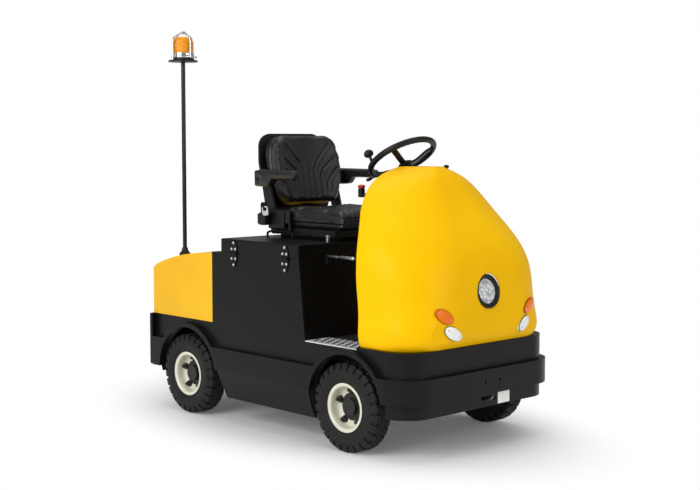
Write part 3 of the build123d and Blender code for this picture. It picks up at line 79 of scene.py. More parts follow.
def piece(name, shape, finish, body, sharp=35, instead_of=None):
    """One mesh from a shape: merged, facing outwards, riding a body and in its slot.
    It stands in place of a solid where one is named."""
    points, faces = shape
    mesh = bpy.data.meshes.new(name)
    mesh.from_pydata(points.reshape(-1, 3).tolist(), [], faces.tolist())
    work = bmesh.new()
    work.from_mesh(mesh)
    bmesh.ops.remove_doubles(work, verts=work.verts, dist=1e-5)
    bmesh.ops.recalc_face_normals(work, faces=work.faces)
    work.to_mesh(mesh)
    work.free()
    mesh.polygons.foreach_set("use_smooth", np.ones(len(mesh.polygons), bool))
    mesh.set_sharp_from_angle(angle=math.radians(sharp))
    mesh.materials.append(finish)
    made = bpy.data.objects.new(name, mesh)
    bpy.context.scene.collection.objects.link(made)
    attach(made, body)
    if instead_of:
        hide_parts(instead_of)
    return made


def unit(rows):
    """Vectors, one or a row each, divided by their lengths."""
    return rows / np.linalg.norm(rows, axis=-1, keepdims=True)


def upright(axis):
    """An axis and two directions square to it and to each other, all of length one."""
    axis = unit(np.array(axis, float))
    helper = np.array((0.0, 0.0, 1.0)) if abs(axis[2]) < 0.9 else np.array((1.0, 0.0, 0.0))
    u = unit(np.cross(helper, axis))
    return axis, u, np.cross(axis, u)


def turned(profile, origin, axis, count=48, size=1.0):
    """Lathe: a profile of (radius, height) in millimetres goes round an axis.
    Point = origin + height*axis + radius*(cos*u + sin*v)."""
    axis, u, v = upright(axis)
    radius, height = (np.array(profile, float) * MM * size).T[:, None, :, None]
    angle = np.linspace(0, 2 * np.pi, count, endpoint=False)[:, None, None]
    points = np.array(origin) + height * axis + radius * (np.cos(angle) * u + np.sin(angle) * v)
    return points, grid_faces(count, len(profile), wrap_rows=True)


def doubled_ends(rows):
    """Rows with the first and the last one twice."""
    return np.concatenate([rows[:1], rows, rows[-1:]])


def swept(path, radius, sides=10):
    """Tube: a circle carried along a smooth path, square to the path, with its ends pinched shut.
    Point = path + radius*(cos*n + sin*b), where n and b are the path's two side directions."""
    path = np.array(path, float)
    radius = np.broadcast_to(radius, len(path)).astype(float)
    ahead = unit(np.gradient(path, axis=0))
    spread = np.linalg.svd(path - path.mean(0))[2][-1]
    n = unit(np.cross(ahead, spread))
    b = np.cross(ahead, n)
    path, n, b = doubled_ends(path), doubled_ends(n), doubled_ends(b)
    radius = np.concatenate([[0.0], radius, [0.0]])
    angle = np.linspace(0, 2 * np.pi, sides, endpoint=False)[None, :, None]
    points = path[:, None] + radius[:, None, None] * (np.cos(angle) * n[:, None] + np.sin(angle) * b[:, None])
    return points, grid_faces(len(path), sides, wrap_columns=True)


def joined(*shapes):
    """Several shapes as one."""
    counts = np.cumsum([0] + [points.reshape(-1, 3).shape[0] for points, _ in shapes])
    return (
        np.vstack([points.reshape(-1, 3) for points, _ in shapes]),
        np.vstack([faces + start for (_, faces), start in zip(shapes, counts)]),
    )


def copies(profile, count, axis, spots, size=1.0):
    """One lathe form at many spots, its height along an axis: all its points are turned and moved at once."""
    points, faces = turned(profile, (0, 0, 0), (0, 0, 1), count, size)
    axis, u, v = upright(axis)
    spots = np.array(spots, float)
    moved = points.reshape(-1, 3) @ np.stack([u, v, axis]) + spots[:, None]
    shift = np.arange(len(spots))[:, None, None] * (points.size // 3)
    return moved.reshape(-1, 3), (faces[None] + shift).reshape(-1, 4)


print("mesh helpers ready")

# %% [markdown]
# A finish starts from the real material: how it was made decides its gloss, its grain and how it ages.
# Colours are written as the sRGB values that one would pick from a paint card; Blender wants linear light.


# %% Material helpers
def linear(code):
    """Linear colour of an sRGB hex code: a channel is divided by 12.92 when dark, else raised to 2.4."""
    part = np.array([int(code[i:i + 2], 16) for i in (1, 3, 5)]) / 255
    light = np.where(part <= 0.04045, part / 12.92, ((part + 0.055) / 1.055) ** 2.4)
    return (*light.tolist(), 1.0)


def add(tree, kind, links=None, **settings):
    """Add one shader node; settings are its properties, links its inputs: a value or a node's output."""
    made = tree.nodes.new("ShaderNode" + kind)
    for key, value in settings.items():
        setattr(made, key, value)
    for key, value in (links or {}).items():
        if isinstance(value, bpy.types.NodeSocket):
            tree.links.new(value, made.inputs[key])
        else:
            made.inputs[key].default_value = value
    return made


def start(name, **sockets):
    """A new material with its main shader's sockets set to constant values, and its Object coordinates."""
    made = bpy.data.materials.new(name)
    made.use_nodes = True
    tree = made.node_tree
    shader = tree.nodes["Principled BSDF"]
    for key, value in sockets.items():
        shader.inputs[key.replace("_", " ")].default_value = value
    return made, tree, shader, add(tree, "TexCoord").outputs["Object"]


def noise(tree, where, patch_mm, detail):
    """Cloudy noise, from 0 to 1, with patches of about the given width."""
    inputs = {"Vector": where, "Scale": 1 / (patch_mm * MM), "Detail": detail}
    return add(tree, "TexNoise", inputs).outputs["Fac"]


def ranged(tree, value, low, high, first=0.0, last=1.0):
    """A value taken in a straight line from one range to another."""
    ends = {"Value": value, "From Min": low, "From Max": high, "To Min": first, "To Max": last}
    return add(tree, "MapRange", ends).outputs["Result"]


def ramp(tree, share, first, last, low=0.0, high=1.0):
    """The colour between two sRGB codes, as a share goes from low to high."""
    made = add(tree, "ValToRGB", {"Fac": share})
    ends = made.color_ramp.elements
    ends[0].position, ends[1].position = low, high
    ends[0].color, ends[1].color = linear(first), linear(last)
    return made.outputs["Color"]


def together(tree, operation, first, second):
    """Two values put together by an operation such as a product."""
    return add(tree, "Math", {0: first, 1: second}, operation=operation).outputs["Value"]


def mixed(tree, share, first, code):
    """A colour that goes over to an sRGB code as the share grows."""
    return add(tree, "Mix", {0: share, 6: first, 7: linear(code)}, data_type="RGBA").outputs[2]


def bumped(tree, height, strength, deep_mm, **links):
    """The surface's normal, tilted by a height of so many millimetres."""
    inputs = {"Height": height, "Strength": strength, "Distance": deep_mm * MM, **links}
    return add(tree, "Bump", inputs).outputs[0]


def wire(tree, shader, **outputs):
    """Join outputs to the main shader's sockets."""
    for key, output in outputs.items():
        tree.links.new(output, shader.inputs[key.replace("_", " ")])


def coat(
    name, colour, shade, patch_mm, grain_mm, depth_mm, rough, worn, wear=0.5, dust=0.0, edge_mm=2.0, **sockets
):
    """A coated or moulded skin: two near tones in patches, a fine grain, brighter worn edges, dust low down.

    The edge mask is one minus how well the surface agrees with itself rounded over by a small radius.
    """
    made, tree, shader, where = start(name, **sockets)
    patch = noise(tree, where, patch_mm, 4.0)
    tone = ramp(tree, patch, shade, colour, 0.35, 0.65)
    grain = noise(tree, where, grain_mm, 2.0)
    soft = add(tree, "Bevel", {"Radius": edge_mm * MM}, samples=4).outputs["Normal"]
    flat = add(tree, "NewGeometry").outputs["Normal"]
    agree = add(tree, "VectorMath", {0: soft, 1: flat}, operation="DOT_PRODUCT").outputs["Value"]
    edge = ranged(tree, agree, 0.995, 0.90, 0.0, wear)
    chip = ranged(tree, noise(tree, where, 14, 6.0), 0.50, 0.66)
    rubbed = mixed(tree, together(tree, "MULTIPLY", edge, chip), tone, worn)
    height = add(tree, "SeparateXYZ", {"Vector": where}).outputs["Z"]
    low = ranged(tree, height, 0.62, 0.05, 0.0, dust)
    dusty = mixed(tree, together(tree, "MULTIPLY", low, patch), rubbed, "#868480")
    gloss = ranged(tree, patch, 0.3, 0.7, rough - 0.05, rough + 0.07)
    pebbled = bumped(tree, grain, 0.6, depth_mm, Normal=soft)
    wire(tree, shader, Base_Color=dusty, Roughness=gloss, Normal=pebbled)
    return made


print("material helpers ready")

# %% [markdown]
# The cowl is glass-fibre laid up behind a polished yellow gel coat: even and soft, with a slight ripple.
# The rear cover is sheet steel in the same yellow, sprayed, so it is a little flatter and warmer. The black
# panels are powder coated: satin, with a fine pebble that softens every reflection.

# %% Painted and moulded finishes
gel_coat = coat(
    "polished_gel_coat_yellow", "#FFC702", "#FCC002", 420, 60, 0.12, 0.46, "#FFDC58", wear=0.1, edge_mm=12,
    Coat_Weight=0.03, Coat_Roughness=0.12, Specular_IOR_Level=0.06,
)
enamel_yellow = coat(
    "sprayed_enamel_yellow", "#F5BE20", "#EEB51A", 300, 7, 0.05, 0.44, "#FFD774", wear=0.3, dust=0.12,
    Coat_Weight=0.05, Coat_Roughness=0.2, Specular_IOR_Level=0.2,
)
powder_black = coat(
    "powder_coat_satin_black", "#0E0E0E", "#0A0A0A", 260, 2.5, 0.06, 0.36, "#3A3A38", dust=0.04,
    Specular_IOR_Level=0.16,
)
chassis_black = coat(
    "brushed_on_chassis_black", "#0F0F0E", "#090909", 90, 5, 0.2, 0.66, "#3E3B37", dust=0.2,
    Specular_IOR_Level=0.2,
)
wheel_cream = coat(
    "stoved_enamel_cream", "#E7E5D2", "#DCDAC6", 70, 4, 0.05, 0.34, "#F4F2E6", wear=0.3, dust=0.12,
    edge_mm=1.5, Coat_Weight=0.2, Coat_Roughness=0.15,
)
cast_black = coat(
    "painted_iron_casting", "#1A1A19", "#111111", 40, 3, 0.25, 0.5, "#45423E", dust=0.15, edge_mm=1.5,
    Specular_IOR_Level=0.3,
)
abs_black = coat(
    "moulded_abs_grained_black", "#151515", "#101010", 120, 1.8, 0.12, 0.42, "#343434", wear=0.4,
    Specular_IOR_Level=0.26,
)
mat_rubber = coat(
    "moulded_mat_rubber", "#1A1A1A", "#131313", 60, 4, 0.5, 0.74, "#343331", wear=0.4, dust=0.2,
    Specular_IOR_Level=0.2,
)
case_grey = coat("battery_case_polypropylene", "#3A3C3E", "#323436", 80, 2, 0.08, 0.5, "#54565A")
print("materials so far:", len(bpy.data.materials))

# %% [markdown]
# Tyre rubber is matt, with a fine mould texture and a little pale dust rubbed into the tread. The seat is
# sewn from embossed vinyl: a pebbled skin over soft folds whose valleys are a touch darker, a painted shade,
# and duller.

# %% Rubber and vinyl
tyre_rubber = coat(
    "cured_tyre_rubber", "#141414", "#0F0F0F", 45, 1.6, 0.18, 0.55, "#32312E", wear=0.4, dust=0.06,
    edge_mm=1.2, Specular_IOR_Level=0.22,
)
seat_vinyl, tree, shader, where = start("embossed_seat_vinyl", Specular_IOR_Level=0.45)
pebbles = {"Vector": where, "Scale": 1 / (3.2 * MM)}
pebble = add(tree, "TexVoronoi", pebbles, feature="SMOOTH_F1").outputs["Distance"]
crease = noise(tree, where, 26, 5.0)
fold = bumped(tree, crease, 0.35, 0.8)
# The fold valleys are painted darker than the crests: painted shade in the creases.
wire(
    tree, shader, Base_Color=ramp(tree, crease, "#111111", "#1A1A1B"),
    Roughness=ranged(tree, crease, 0.3, 0.7, 0.30, 0.44),
    Normal=bumped(tree, pebble, 0.35, 0.35, Normal=fold),
)
print("vinyl and rubber ready")

# %% [markdown]
# Bare metals: the step is extruded aluminium, brushed along its length and scratched by boots. Bolts and
# the lever are zinc-plated steel, a bluish grey with a cloudy bloom. The beacon's guard and the dial's rim
# are chrome plate, nearly flawless, so only the roughness varies a little.


# %% Metal finishes
def bare_metal(name, colour, shade, patch_mm, stretch, rough, spread, metallic=1.0):
    """Metal with a stretched noise: long streaks along X where the tool or the boots passed."""
    made, tree, shader, where = start(name, Metallic=metallic)
    along = add(tree, "Mapping", {"Vector": where, "Scale": (1 / stretch, 1.0, 1.0)}).outputs["Vector"]
    streak = noise(tree, along, patch_mm, 5.0)
    soft = add(tree, "Bevel", {"Radius": 1.0 * MM}, samples=4).outputs["Normal"]
    wire(
        tree, shader, Base_Color=ramp(tree, streak, shade, colour, 0.3, 0.7),
        Roughness=ranged(tree, streak, 0.3, 0.7, rough + spread, rough),
        Normal=bumped(tree, streak, 0.25, 0.1, Normal=soft),
    )
    return made


step_aluminium = bare_metal("extruded_aluminium_oxidised", "#F2F3F4", "#D4D6D8", 5, 8, 0.4, 0.2, 0.25)
zinc_plate = bare_metal("zinc_plated_steel", "#C4C6C8", "#A2A5A8", 9, 1, 0.26, 0.16)
chrome_plate = bare_metal("chrome_plate", "#D9DADB", "#C9CACC", 30, 1, 0.06, 0.05)
drawn_tube = bare_metal("blackened_steel_tube", "#3A3B3C", "#2C2D2E", 12, 1, 0.26, 0.12)
print("metals ready")

# %% [markdown]
# Lamp lenses are moulded acrylic. Light enters, scatters at the ribs inside and comes back coloured, so the
# shader mixes a clear coat of gloss with some transmission, and rib lines bump its surface and paint light
# and shade into its colour. The headlight's glass is pressed into small prisms, each a cell with a bright
# middle: a painted glint, darker towards its edges.

# %% Lens finishes
WAVE_PER_METRE = 0.314


def lens(name, colour, shade, rib_mm, through):
    """Acrylic with fine upright ribs: a wave along the frame's Y bumps the skin and paints light and shade
    into its colour, lighter on the crests and darker in the troughs.
    """
    made, tree, shader, where = start(
        name, Roughness=0.16, IOR=1.49, Transmission_Weight=through, Specular_IOR_Level=0.2, Coat_Weight=0.1,
        Coat_Roughness=0.05,
    )
    rib = add(
        tree, "TexWave",
        {"Vector": where, "Scale": WAVE_PER_METRE / (rib_mm * MM), "Distortion": 0.6, "Detail": 1.0},
        wave_type="BANDS", bands_direction="Y",
    ).outputs["Fac"]
    # The colour follows the rib wave: painted highlight on the rib crests, painted shade in the troughs.
    wire(tree, shader, Base_Color=ramp(tree, rib, shade, colour), Normal=bumped(tree, rib, 0.4, 0.8))
    return made


lens_amber = lens("moulded_acrylic_amber", "#FF8400", "#FA7000", 5, 0.05)
beacon_amber = lens("moulded_acrylic_yellow_amber", "#FFB020", "#F08C00", 6, 0.25)
lens_white = lens("moulded_acrylic_clear_frosted", "#FFFFFF", "#F1F1EE", 5, 0.0)
lens_red = lens("moulded_acrylic_red", "#C81810", "#9C0E08", 5, 0.15)
lamp_glass, tree, shader, where = start(
    "pressed_lamp_glass", Roughness=0.12, Specular_IOR_Level=0.6, Coat_Weight=0.3,
)
prism = add(tree, "TexVoronoi", {"Vector": where, "Scale": 1 / (17 * MM)}).outputs["Distance"]
# Each prism cell is painted bright in its middle and darker at its edges: a painted glint of the reflector
# behind the glass.
painted_prism_glint = ramp(tree, prism, "#F6F7F8", "#A4A9AD", 0.15, 0.75)
wire(tree, shader, Base_Color=painted_prism_glint, Normal=bumped(tree, prism, 0.5, 2))
print("lenses ready")

# %% [markdown]
# The solids already carry plain colours. Here each gets the finish of the real piece instead.

# %% Put the finishes on the solid parts
FINISHES = (
    (gel_coat, ("cowl",)),
    (enamel_yellow, ("rear_cover",)),
    (powder_black, (
        "side_panel_right", "side_panel_left", "front_bumper", "rear_bumper", "battery_box", "battery_lid",
        "hinges_lower", "hinges_upper", "tow_coupling", "floor_plate", "seat_rails",
    )),
    (chassis_black, ("main_frame", "drive_axle", "front_axle", "knuckle_right", "knuckle_left", "tie_rod")),
    (step_aluminium, ("step_treads",)),
    (mat_rubber, ("floor_mat", "pedals")),
    (tyre_rubber, tuple("tyre_" + name for name, _, _ in CORNERS)),
    (wheel_cream, tuple("wheel_" + name for name, _, _ in CORNERS)),
    (cast_black, tuple("hub_" + name for name, _, _ in CORNERS)),
    (abs_black, (
        "dash", "steering_wheel", "steering_column", "armrest_right", "armrest_left", "headlight_ring",
        "seat_back_frame", "seat_base", "belt_buckle",
    )),
    (seat_vinyl, ("seat_cushion", "seat_back_pad")),
    (lamp_glass, ("headlight_lens",)),
    (lens_white, ("marker_lamps",)),
    (lens_amber, ("turn_lamps",)),
    (beacon_amber, ("beacon_lens",)),
    (lens_red, ("tail_lamps",)),
    (zinc_plate, ("brake_lever", "beacon_base")),
    (drawn_tube, ("beacon_pole",)),
    (case_grey, ("battery",)),
)
for finish, names in FINISHES:
    for name in names:
        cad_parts[name].data.materials.clear()
        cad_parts[name].data.materials.append(finish)
print("finished solids:", sum(len(names) for _, names in FINISHES))

# %% [markdown]
# The tyres are moulded in one piece: smooth sidewalls with rings, and heavy lugs on both shoulders, half a
# pitch apart. A tyre is a grid of angle by section. Every groove pushes its points inwards along the
# section's normal, so one formula gives the lugs, the two wavy tread grooves and the rings.


# %% Tyres
def step(value, low, high):
    """Smooth step: 0 up to low, 1 from high, an S-curve between."""
    share = np.clip((value - low) / (high - low), 0, 1)
    return share * share * (3 - 2 * share)


LUGS, LUG_DEEP, WAVE_DEEP = 26, 8.5, 6.0
RINGS = ((127, 1.4), (149, 0.9), (171, 1.3))
IN_PITCH = np.array([0, 0.06, 0.118, 0.138, 0.25, 0.362, 0.382, 0.44])
IN_PITCH = np.concatenate([IN_PITCH, IN_PITCH + 0.5])
# Section in millimetres, from the middle of the tread over the shoulder and down the bulging sidewall
wall = np.linspace(200.5, 116, 34)
bulge = np.polyval(np.polyfit([201, 162.5, 116], [48.5, 56.4, 46], 2), wall)
half_across = np.concatenate([np.linspace(0, 38, 20), [39.8, 42.4, 45.2, 47.4], bulge])
half_radius = np.concatenate([np.full(20, 210.0), [209.7, 207.9, 205.2, 202.6], wall])
across = np.concatenate([-half_across[::-1], half_across[1:]])
radius = np.concatenate([half_radius[::-1], half_radius[1:]])
outwards = np.stack([-np.gradient(radius), np.gradient(across)])
outwards = outwards / np.linalg.norm(outwards, axis=0)
phase = (np.arange(LUGS)[:, None] + IN_PITCH).reshape(-1, 1)
apart = np.abs((phase + 0.5 * (across > 0) + 0.5) % 1 - 0.5)
lug = (1 - step(apart, 0.116, 0.140)) * step(np.abs(across), 19, 22.5) * step(radius, 175, 184)
wave = np.abs(np.abs(across) - 11 - 2.5 * np.sin(4 * np.pi * phase))
groove = (1 - step(wave, 1.5, 3.4)) * (np.abs(across) < 20) * (radius > 205)
rings = sum(deep * np.exp(-(((radius - at) / 2.2) ** 2)) for at, deep in RINGS)
sunk = LUG_DEEP * lug + WAVE_DEEP * groove + rings
tyre_across = np.pad(across - outwards[0] * sunk, ((0, 0), (1, 1)), constant_values=((0, 0), (-45.5, 45.5)))
tyre_radius = np.pad(radius - outwards[1] * sunk, ((0, 0), (1, 1)), constant_values=103)
turn = 2 * np.pi * phase / LUGS
tyre_points = np.stack([tyre_radius * np.cos(turn), tyre_across, tyre_radius * np.sin(turn)], -1) * MM
tyre_faces = grid_faces(*tyre_across.shape, wrap_rows=True, wrap_columns=True)
for name, x, side in CORNERS:
    piece(
        "lugged_tyre_" + name, (tyre_points + np.array((x, side * WHEEL_Y, AXLE_Z)), tyre_faces), tyre_rubber,
        "wheel_" + name, instead_of="tyre_" + name,
    )
print("tyre points:", tyre_points.size // 3, "lugs per side:", LUGS)

# %% [markdown]
# The wheels are pressed and stoved: a rolled lip, a deep dish and a flat disc with a large bore. A lathe
# profile with soft corners does that. Five black nuts stand on the disc with their studs and washers;
# six-sided lathe work makes a hexagon. A short valve leans out of the dish.

# %% Wheels, nuts and valves
DISH = (
    # radius, outwards from the wheel's middle, in millimetres, once round the section
    (102, 40), (102, 45.5), (104, 46.2), (112, 46.3), (114.6, 47), (115.4, 49), (114.6, 51), (112, 51.6),
    (106, 51), (101.5, 49.5), (98.6, 46.5), (97, 42), (96.4, 30), (95.4, 14), (93.5, 7), (89.5, 2), (84, 0),
    (68, 0), (66, -0.6), (65, -2), (65, -6), (66, -7.6), (84, -8), (92, -7), (96.4, -2), (97, -10),
    (97, -40), (98.6, -46.5), (104, -51), (112, -51.6), (115, -50), (114.6, -47), (112, -46.3),
    (104, -46.2), (102, -45.5), (102, -40), (102, 40),
)
NUT = ((15.5, 2.6), (15.5, 13.5), (12.4, 17), (0, 17))
STUD = ((8, 16), (8, 27), (6.5, 29), (0, 29))
WASHER = ((8, 0.3), (18, 0.3), (18, 2.2), (17, 3), (8, 3))
VALVE_R = np.array((4, 4, 4, 3.4, 3.4, 4.2, 4.2, 4.2)) * MM
VALVE_FOOT, VALVE_LEAN = np.array((0.058, 0.012, -0.070)), np.array((0.006, 0.030, -0.004))
STUD_CIRCLE = 0.080
nut_black = coat(
    "blackened_steel_nut", "#191817", "#100F0F", 12, 2, 0.1, 0.38, "#6A675F", wear=0.9, edge_mm=1.0,
)
turn = np.radians(90 + 72 * np.arange(5))
for name, x, side in CORNERS:
    body, centre, out = "wheel_" + name, np.array((x, side * WHEEL_Y, AXLE_Z)), (0, side, 0)
    piece("dished_wheel_" + name, turned(DISH, centre, out, 96), wheel_cream, body, 50, body)
    spots = centre + STUD_CIRCLE * np.stack([np.cos(turn), 0 * turn, np.sin(turn)], 1)
    nuts = joined(*(copies(profile, n, out, spots) for profile, n in ((NUT, 6), (STUD, 12), (WASHER, 20))))
    piece("wheel_nuts_" + name, nuts, nut_black, body, 25)
    mirror = np.array((1, side, 1))
    stem = centre + np.linspace(0, 1, 8)[:, None] * (VALVE_LEAN * mirror) + VALVE_FOOT * mirror
    piece("tyre_valve_" + name, swept(stem, VALVE_R, 12), zinc_plate, body)
print("wheels dressed:", len(CORNERS), "nuts on each:", len(turn))

# %% [markdown]
# The seat is foam under embossed vinyl. Each pad starts from its solid, is remade with even small faces,
# drawn in a little and blown up as cloth under pressure, so that its corners round off and its faces crown.
# The moves are capped, and a pad stays flat where it rests. The sewn channels are pressed in afterwards: a
# point close to a channel's line sinks along the pad's normal, and the foam beside the line stands up a
# little.


# %% Padding by cloth simulation
def mesh_points(mesh):
    """All points of a mesh as rows of X, Y, Z."""
    flat = np.empty(3 * len(mesh.vertices))
    mesh.vertices.foreach_get("co", flat)
    return flat.reshape(-1, 3)


def mesh_normals(mesh):
    """All point normals of a mesh as rows of X, Y, Z."""
    flat = np.empty(3 * len(mesh.vertices), np.float32)
    mesh.vertex_normals.foreach_get("vector", flat)
    return flat.reshape(-1, 3).astype(float)


def applied(made):
    """The mesh of an object with its modifiers worked in; the object loses them."""
    mesh = bpy.data.meshes.new_from_object(made.evaluated_get(bpy.context.evaluated_depsgraph_get()))
    made.modifiers.clear()
    return mesh


def stuffed(name, node, body, voxel_mm, draw_in_mm, cap_mm, pressure):
    """A padded copy of a solid: voxel skin, drawn in along its normals, inflated as cloth with a cap on
    every move, then eased, because a moulded vinyl cover is too stiff for small creases."""
    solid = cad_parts[node]
    mesh = solid.data.copy()
    mesh.transform(solid.matrix_world)
    work = bmesh.new()
    work.from_mesh(mesh)
    bmesh.ops.remove_doubles(work, verts=work.verts, dist=1e-5)
    work.to_mesh(mesh)
    work.free()
    made = bpy.data.objects.new(name, mesh)
    bpy.context.scene.collection.objects.link(made)
    voxels = made.modifiers.new("voxels", "REMESH")
    voxels.mode, voxels.voxel_size = "VOXEL", voxel_mm * MM
    made.data = applied(made)
    rest = mesh_points(made.data) - mesh_normals(made.data) * draw_in_mm * MM
    made.data.vertices.foreach_set("co", rest.ravel())
    cloth = made.modifiers.new("cloth", "CLOTH").settings
    cloth.quality = 4
    cloth.use_pressure, cloth.uniform_pressure_force = True, pressure
    cloth.effector_weights.gravity = 0.0
    cloth.tension_stiffness = cloth.compression_stiffness = 18
    last = 20
    for moment in range(1, last + 1):
        bpy.context.scene.frame_set(moment)
    blown = applied(made)
    bpy.context.scene.frame_set(1)
    shift = mesh_points(blown) - rest
    length = np.linalg.norm(shift, axis=1, keepdims=True)
    capped = rest + shift * np.minimum(1, cap_mm * MM / np.maximum(length, 1e-9))
    blown.vertices.foreach_set("co", capped.ravel())
    made.data = blown
    ease = made.modifiers.new("eased", "SMOOTH")
    ease.factor, ease.iterations = 0.5, 16
    fine = made.modifiers.new("finer", "SUBSURF")
    fine.levels = fine.render_levels = 1
    made.data = applied(made)
    made.data.polygons.foreach_set("use_smooth", np.ones(len(made.data.polygons), bool))
    made.data.materials.clear()
    made.data.materials.append(seat_vinyl)
    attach(made, body)
    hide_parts(node)
    return made


def from_line(points, line):
    """Distance of flat points from a line of straight runs: the least over its runs of the distance to the
    nearest point of the run, which lies at the clamped share of the point's shadow on it."""
    line = np.array(line, float)
    best = np.full(len(points), np.inf)
    for a, b in zip(line[:-1], line[1:]):
        share = np.clip((points - a) @ (b - a) / ((b - a) @ (b - a)), 0, 1)
        best = np.minimum(best, np.linalg.norm(points - a - share[:, None] * (b - a), axis=1))
    return best


def channel(distance, deep_mm, wide_mm):
    """Depth of a sewn channel in metres: a bell-shaped valley less a low swelling beside it."""
    d = distance / (wide_mm * MM)
    return MM * deep_mm * (np.exp(-d * d) - 0.28 * np.exp(-((d - 2.1) ** 2)))


CUSHION_FOOT = 0.9906
SIDE_SEAMS = ((-0.20, 0.158), (0.205, 0.150), (0.40, 0.142))
FRONT_SEAM = ((0.198, -0.10), (0.214, 0.151))
MIDDLE_SEAM = ((0.03, -0.10), (0.03, 0.148))
cushion = stuffed("padded_cushion", "seat_cushion", "seat", 6, 4, 12, 4.0)
at, normal = mesh_points(cushion.data), mesh_normals(cushion.data)
top = np.clip(normal[:, 2], 0, 1)
plan = np.stack([at[:, 0], np.abs(at[:, 1])], 1)
sew = channel(from_line(plan, SIDE_SEAMS), 7, 7) * np.sqrt(top)
sew += channel(from_line(plan, FRONT_SEAM), 5, 7) * top
sew += channel(from_line(plan, MIDDLE_SEAM), 3.5, 7) * top
piping = sum(channel(np.abs(at[:, 2] - CUSHION_FOOT - level), 4, 4.5) for level in (0.030, 0.062))
sew += piping * np.clip(1.4 * (1 - top) - 0.4, 0, 1)
hollow = step(0.15 - np.abs(at[:, 1]), 0, 0.12) * step(at[:, 0], -0.16, 0.0) * step(0.22 - at[:, 0], 0, 0.08)
at = at - normal * sew[:, None]
at[:, 2] = np.maximum(at[:, 2] - 0.010 * hollow * top, CUSHION_FOOT + 0.0001)
cushion.data.vertices.foreach_set("co", at.ravel())
print("cushion points:", len(at))

# %% [markdown]
# The backrest has a smooth head panel that narrows to a Y. Upright channels rise in the middle and fan out
# to the wings, and three more run up the outside of each wing. They are drawn in the backrest's own flat
# frame, whose second axis leans back with it.

# %% Backrest pad
BACK_FOOT, BACK_DEPTH = np.array((-0.197, 0.0, 1.1046)), 0.0918
FANS = (
    # line in the backrest's frame, metres: out from the middle, up from the foot
    ((0.000, 0.045), (0.000, 0.170)),
    ((0.040, 0.045), (0.040, 0.185), (0.058, 0.220), (0.150, 0.318)),
    ((0.080, 0.055), (0.080, 0.150), (0.096, 0.180), (0.172, 0.240)),
    ((0.116, 0.078), (0.120, 0.120), (0.180, 0.182)),
)
WING_CHANNELS = (0.012, -0.022, -0.056)
backrest = stuffed("padded_backrest", "seat_back_pad", "seat_back", 6, 3, 11, 4.0)
at, normal = mesh_points(backrest.data), mesh_normals(backrest.data)
lean = np.array((-90.0, 0.0, 394.0)) / math.hypot(90, 394)
ahead = np.array((lean[2], 0.0, -lean[0]))
front = np.stack([np.abs(at[:, 1]), (at - BACK_FOOT) @ lean], 1)
facing = np.clip(normal @ ahead, 0, 1)
sew = sum(channel(from_line(front, line), 7, 6.5) for line in FANS) * np.sqrt(facing)
depth = (at - BACK_FOOT) @ ahead
outside = np.clip(np.abs(normal[:, 1]) * 1.3 - 0.3, 0, 1)
outside = outside * step(front[:, 1], 0.05, 0.09) * step(0.35 - front[:, 1], 0, 0.05)
sew += sum(channel(np.abs(depth - place), 5, 4.5) for place in WING_CHANNELS) * outside
at = at - normal * sew[:, None]
behind = np.minimum((at - BACK_FOOT) @ ahead + BACK_DEPTH, 0)
at = at - behind[:, None] * ahead
backrest.data.vertices.foreach_set("co", at.ravel())
print("backrest points:", len(at))

# %% [markdown]
# The armrests are self-skinned foam: soft corners, one moulded parting line round their middle.

# %% Armrest pads
ARM_MIDDLE, ARM_INSIDE = 0.290, 0.2525
for name, side in SIDES:
    rest_pad = stuffed("padded_armrest_" + name, "armrest_" + name, "armrest_" + name, 5, 4, 7, 3.0)
    at, normal = mesh_points(rest_pad.data), mesh_normals(rest_pad.data)
    parting = np.abs(np.abs(at[:, 1]) - ARM_MIDDLE)
    at = at - normal * channel(parting, 2.0, 3.0)[:, None]
    at[:, 1] = side * np.maximum(np.abs(at[:, 1]), ARM_INSIDE)
    rest_pad.data.vertices.foreach_set("co", at.ravel())
print("armrests padded")

# %% [markdown]
# Bolts, plates and treads. A dome-headed bolt is a short lathe profile, copied to every place at once. The
# hinges hold six bolts each: those above the pin ride the lid, those below stay on the panel. The step is a
# bright extrusion with black grit diamonds let into it. The plate at the front is bare.


# %% More mesh helpers
def block(low, high, cut):
    """Box in millimetres with chamfered edges: eight-sided rings from the bottom up, the end rings drawn in
    by the chamfer and closed on a centre point.
    Ring point = centre + (half size less chamfer) at the eight corners."""
    low, high = np.array(low, float) * MM, np.array(high, float) * MM
    centre, half, cut = (low + high) / 2, (high - low) / 2, cut * MM
    rings = []
    for height, inset, share in ((-1, 0, 0), (-1, cut, 1), (-1, 0, 1), (1, 0, 1), (1, cut, 1), (1, 0, 0)):
        a, b = half[0] - inset, half[1] - inset
        c = min(cut, 0.6 * a, 0.6 * b)
        quarter = np.array(((a, b - c), (a - c, b), (c - a, b), (-a, b - c)))
        level = height * (half[2] - (cut if inset == 0 and share else 0))
        rings.append(np.column_stack([np.vstack([quarter, -quarter]) * share, np.full(8, level)]) + centre)
    return np.array(rings), grid_faces(6, 8, wrap_columns=True)


def strap(path, across, width, thick):
    """Flat webbing: an eight-sided flat section carried along a path, its width along one fixed direction.
    Point = path + a*width*across + b*thickness*normal, with the ends pinched shut."""
    path, across = np.array(path, float), np.array(across, float)
    normal = unit(np.cross(np.gradient(path, axis=0), across))
    section = np.array(((0.5, 0), (0.47, 0.5), (0, 0.5), (-0.47, 0.5)))
    section = np.vstack([section, -section])
    size = np.ones(len(path) + 2)
    size[[0, -1]] = 0
    path, normal = doubled_ends(path), doubled_ends(normal)
    wide = (section[:, 0] * width)[None, :, None] * across * size[:, None, None]
    high = (section[:, 1] * thick)[None, :, None] * normal[:, None] * size[:, None, None]
    return path[:, None] + wide + high, grid_faces(len(path), 8, wrap_columns=True)


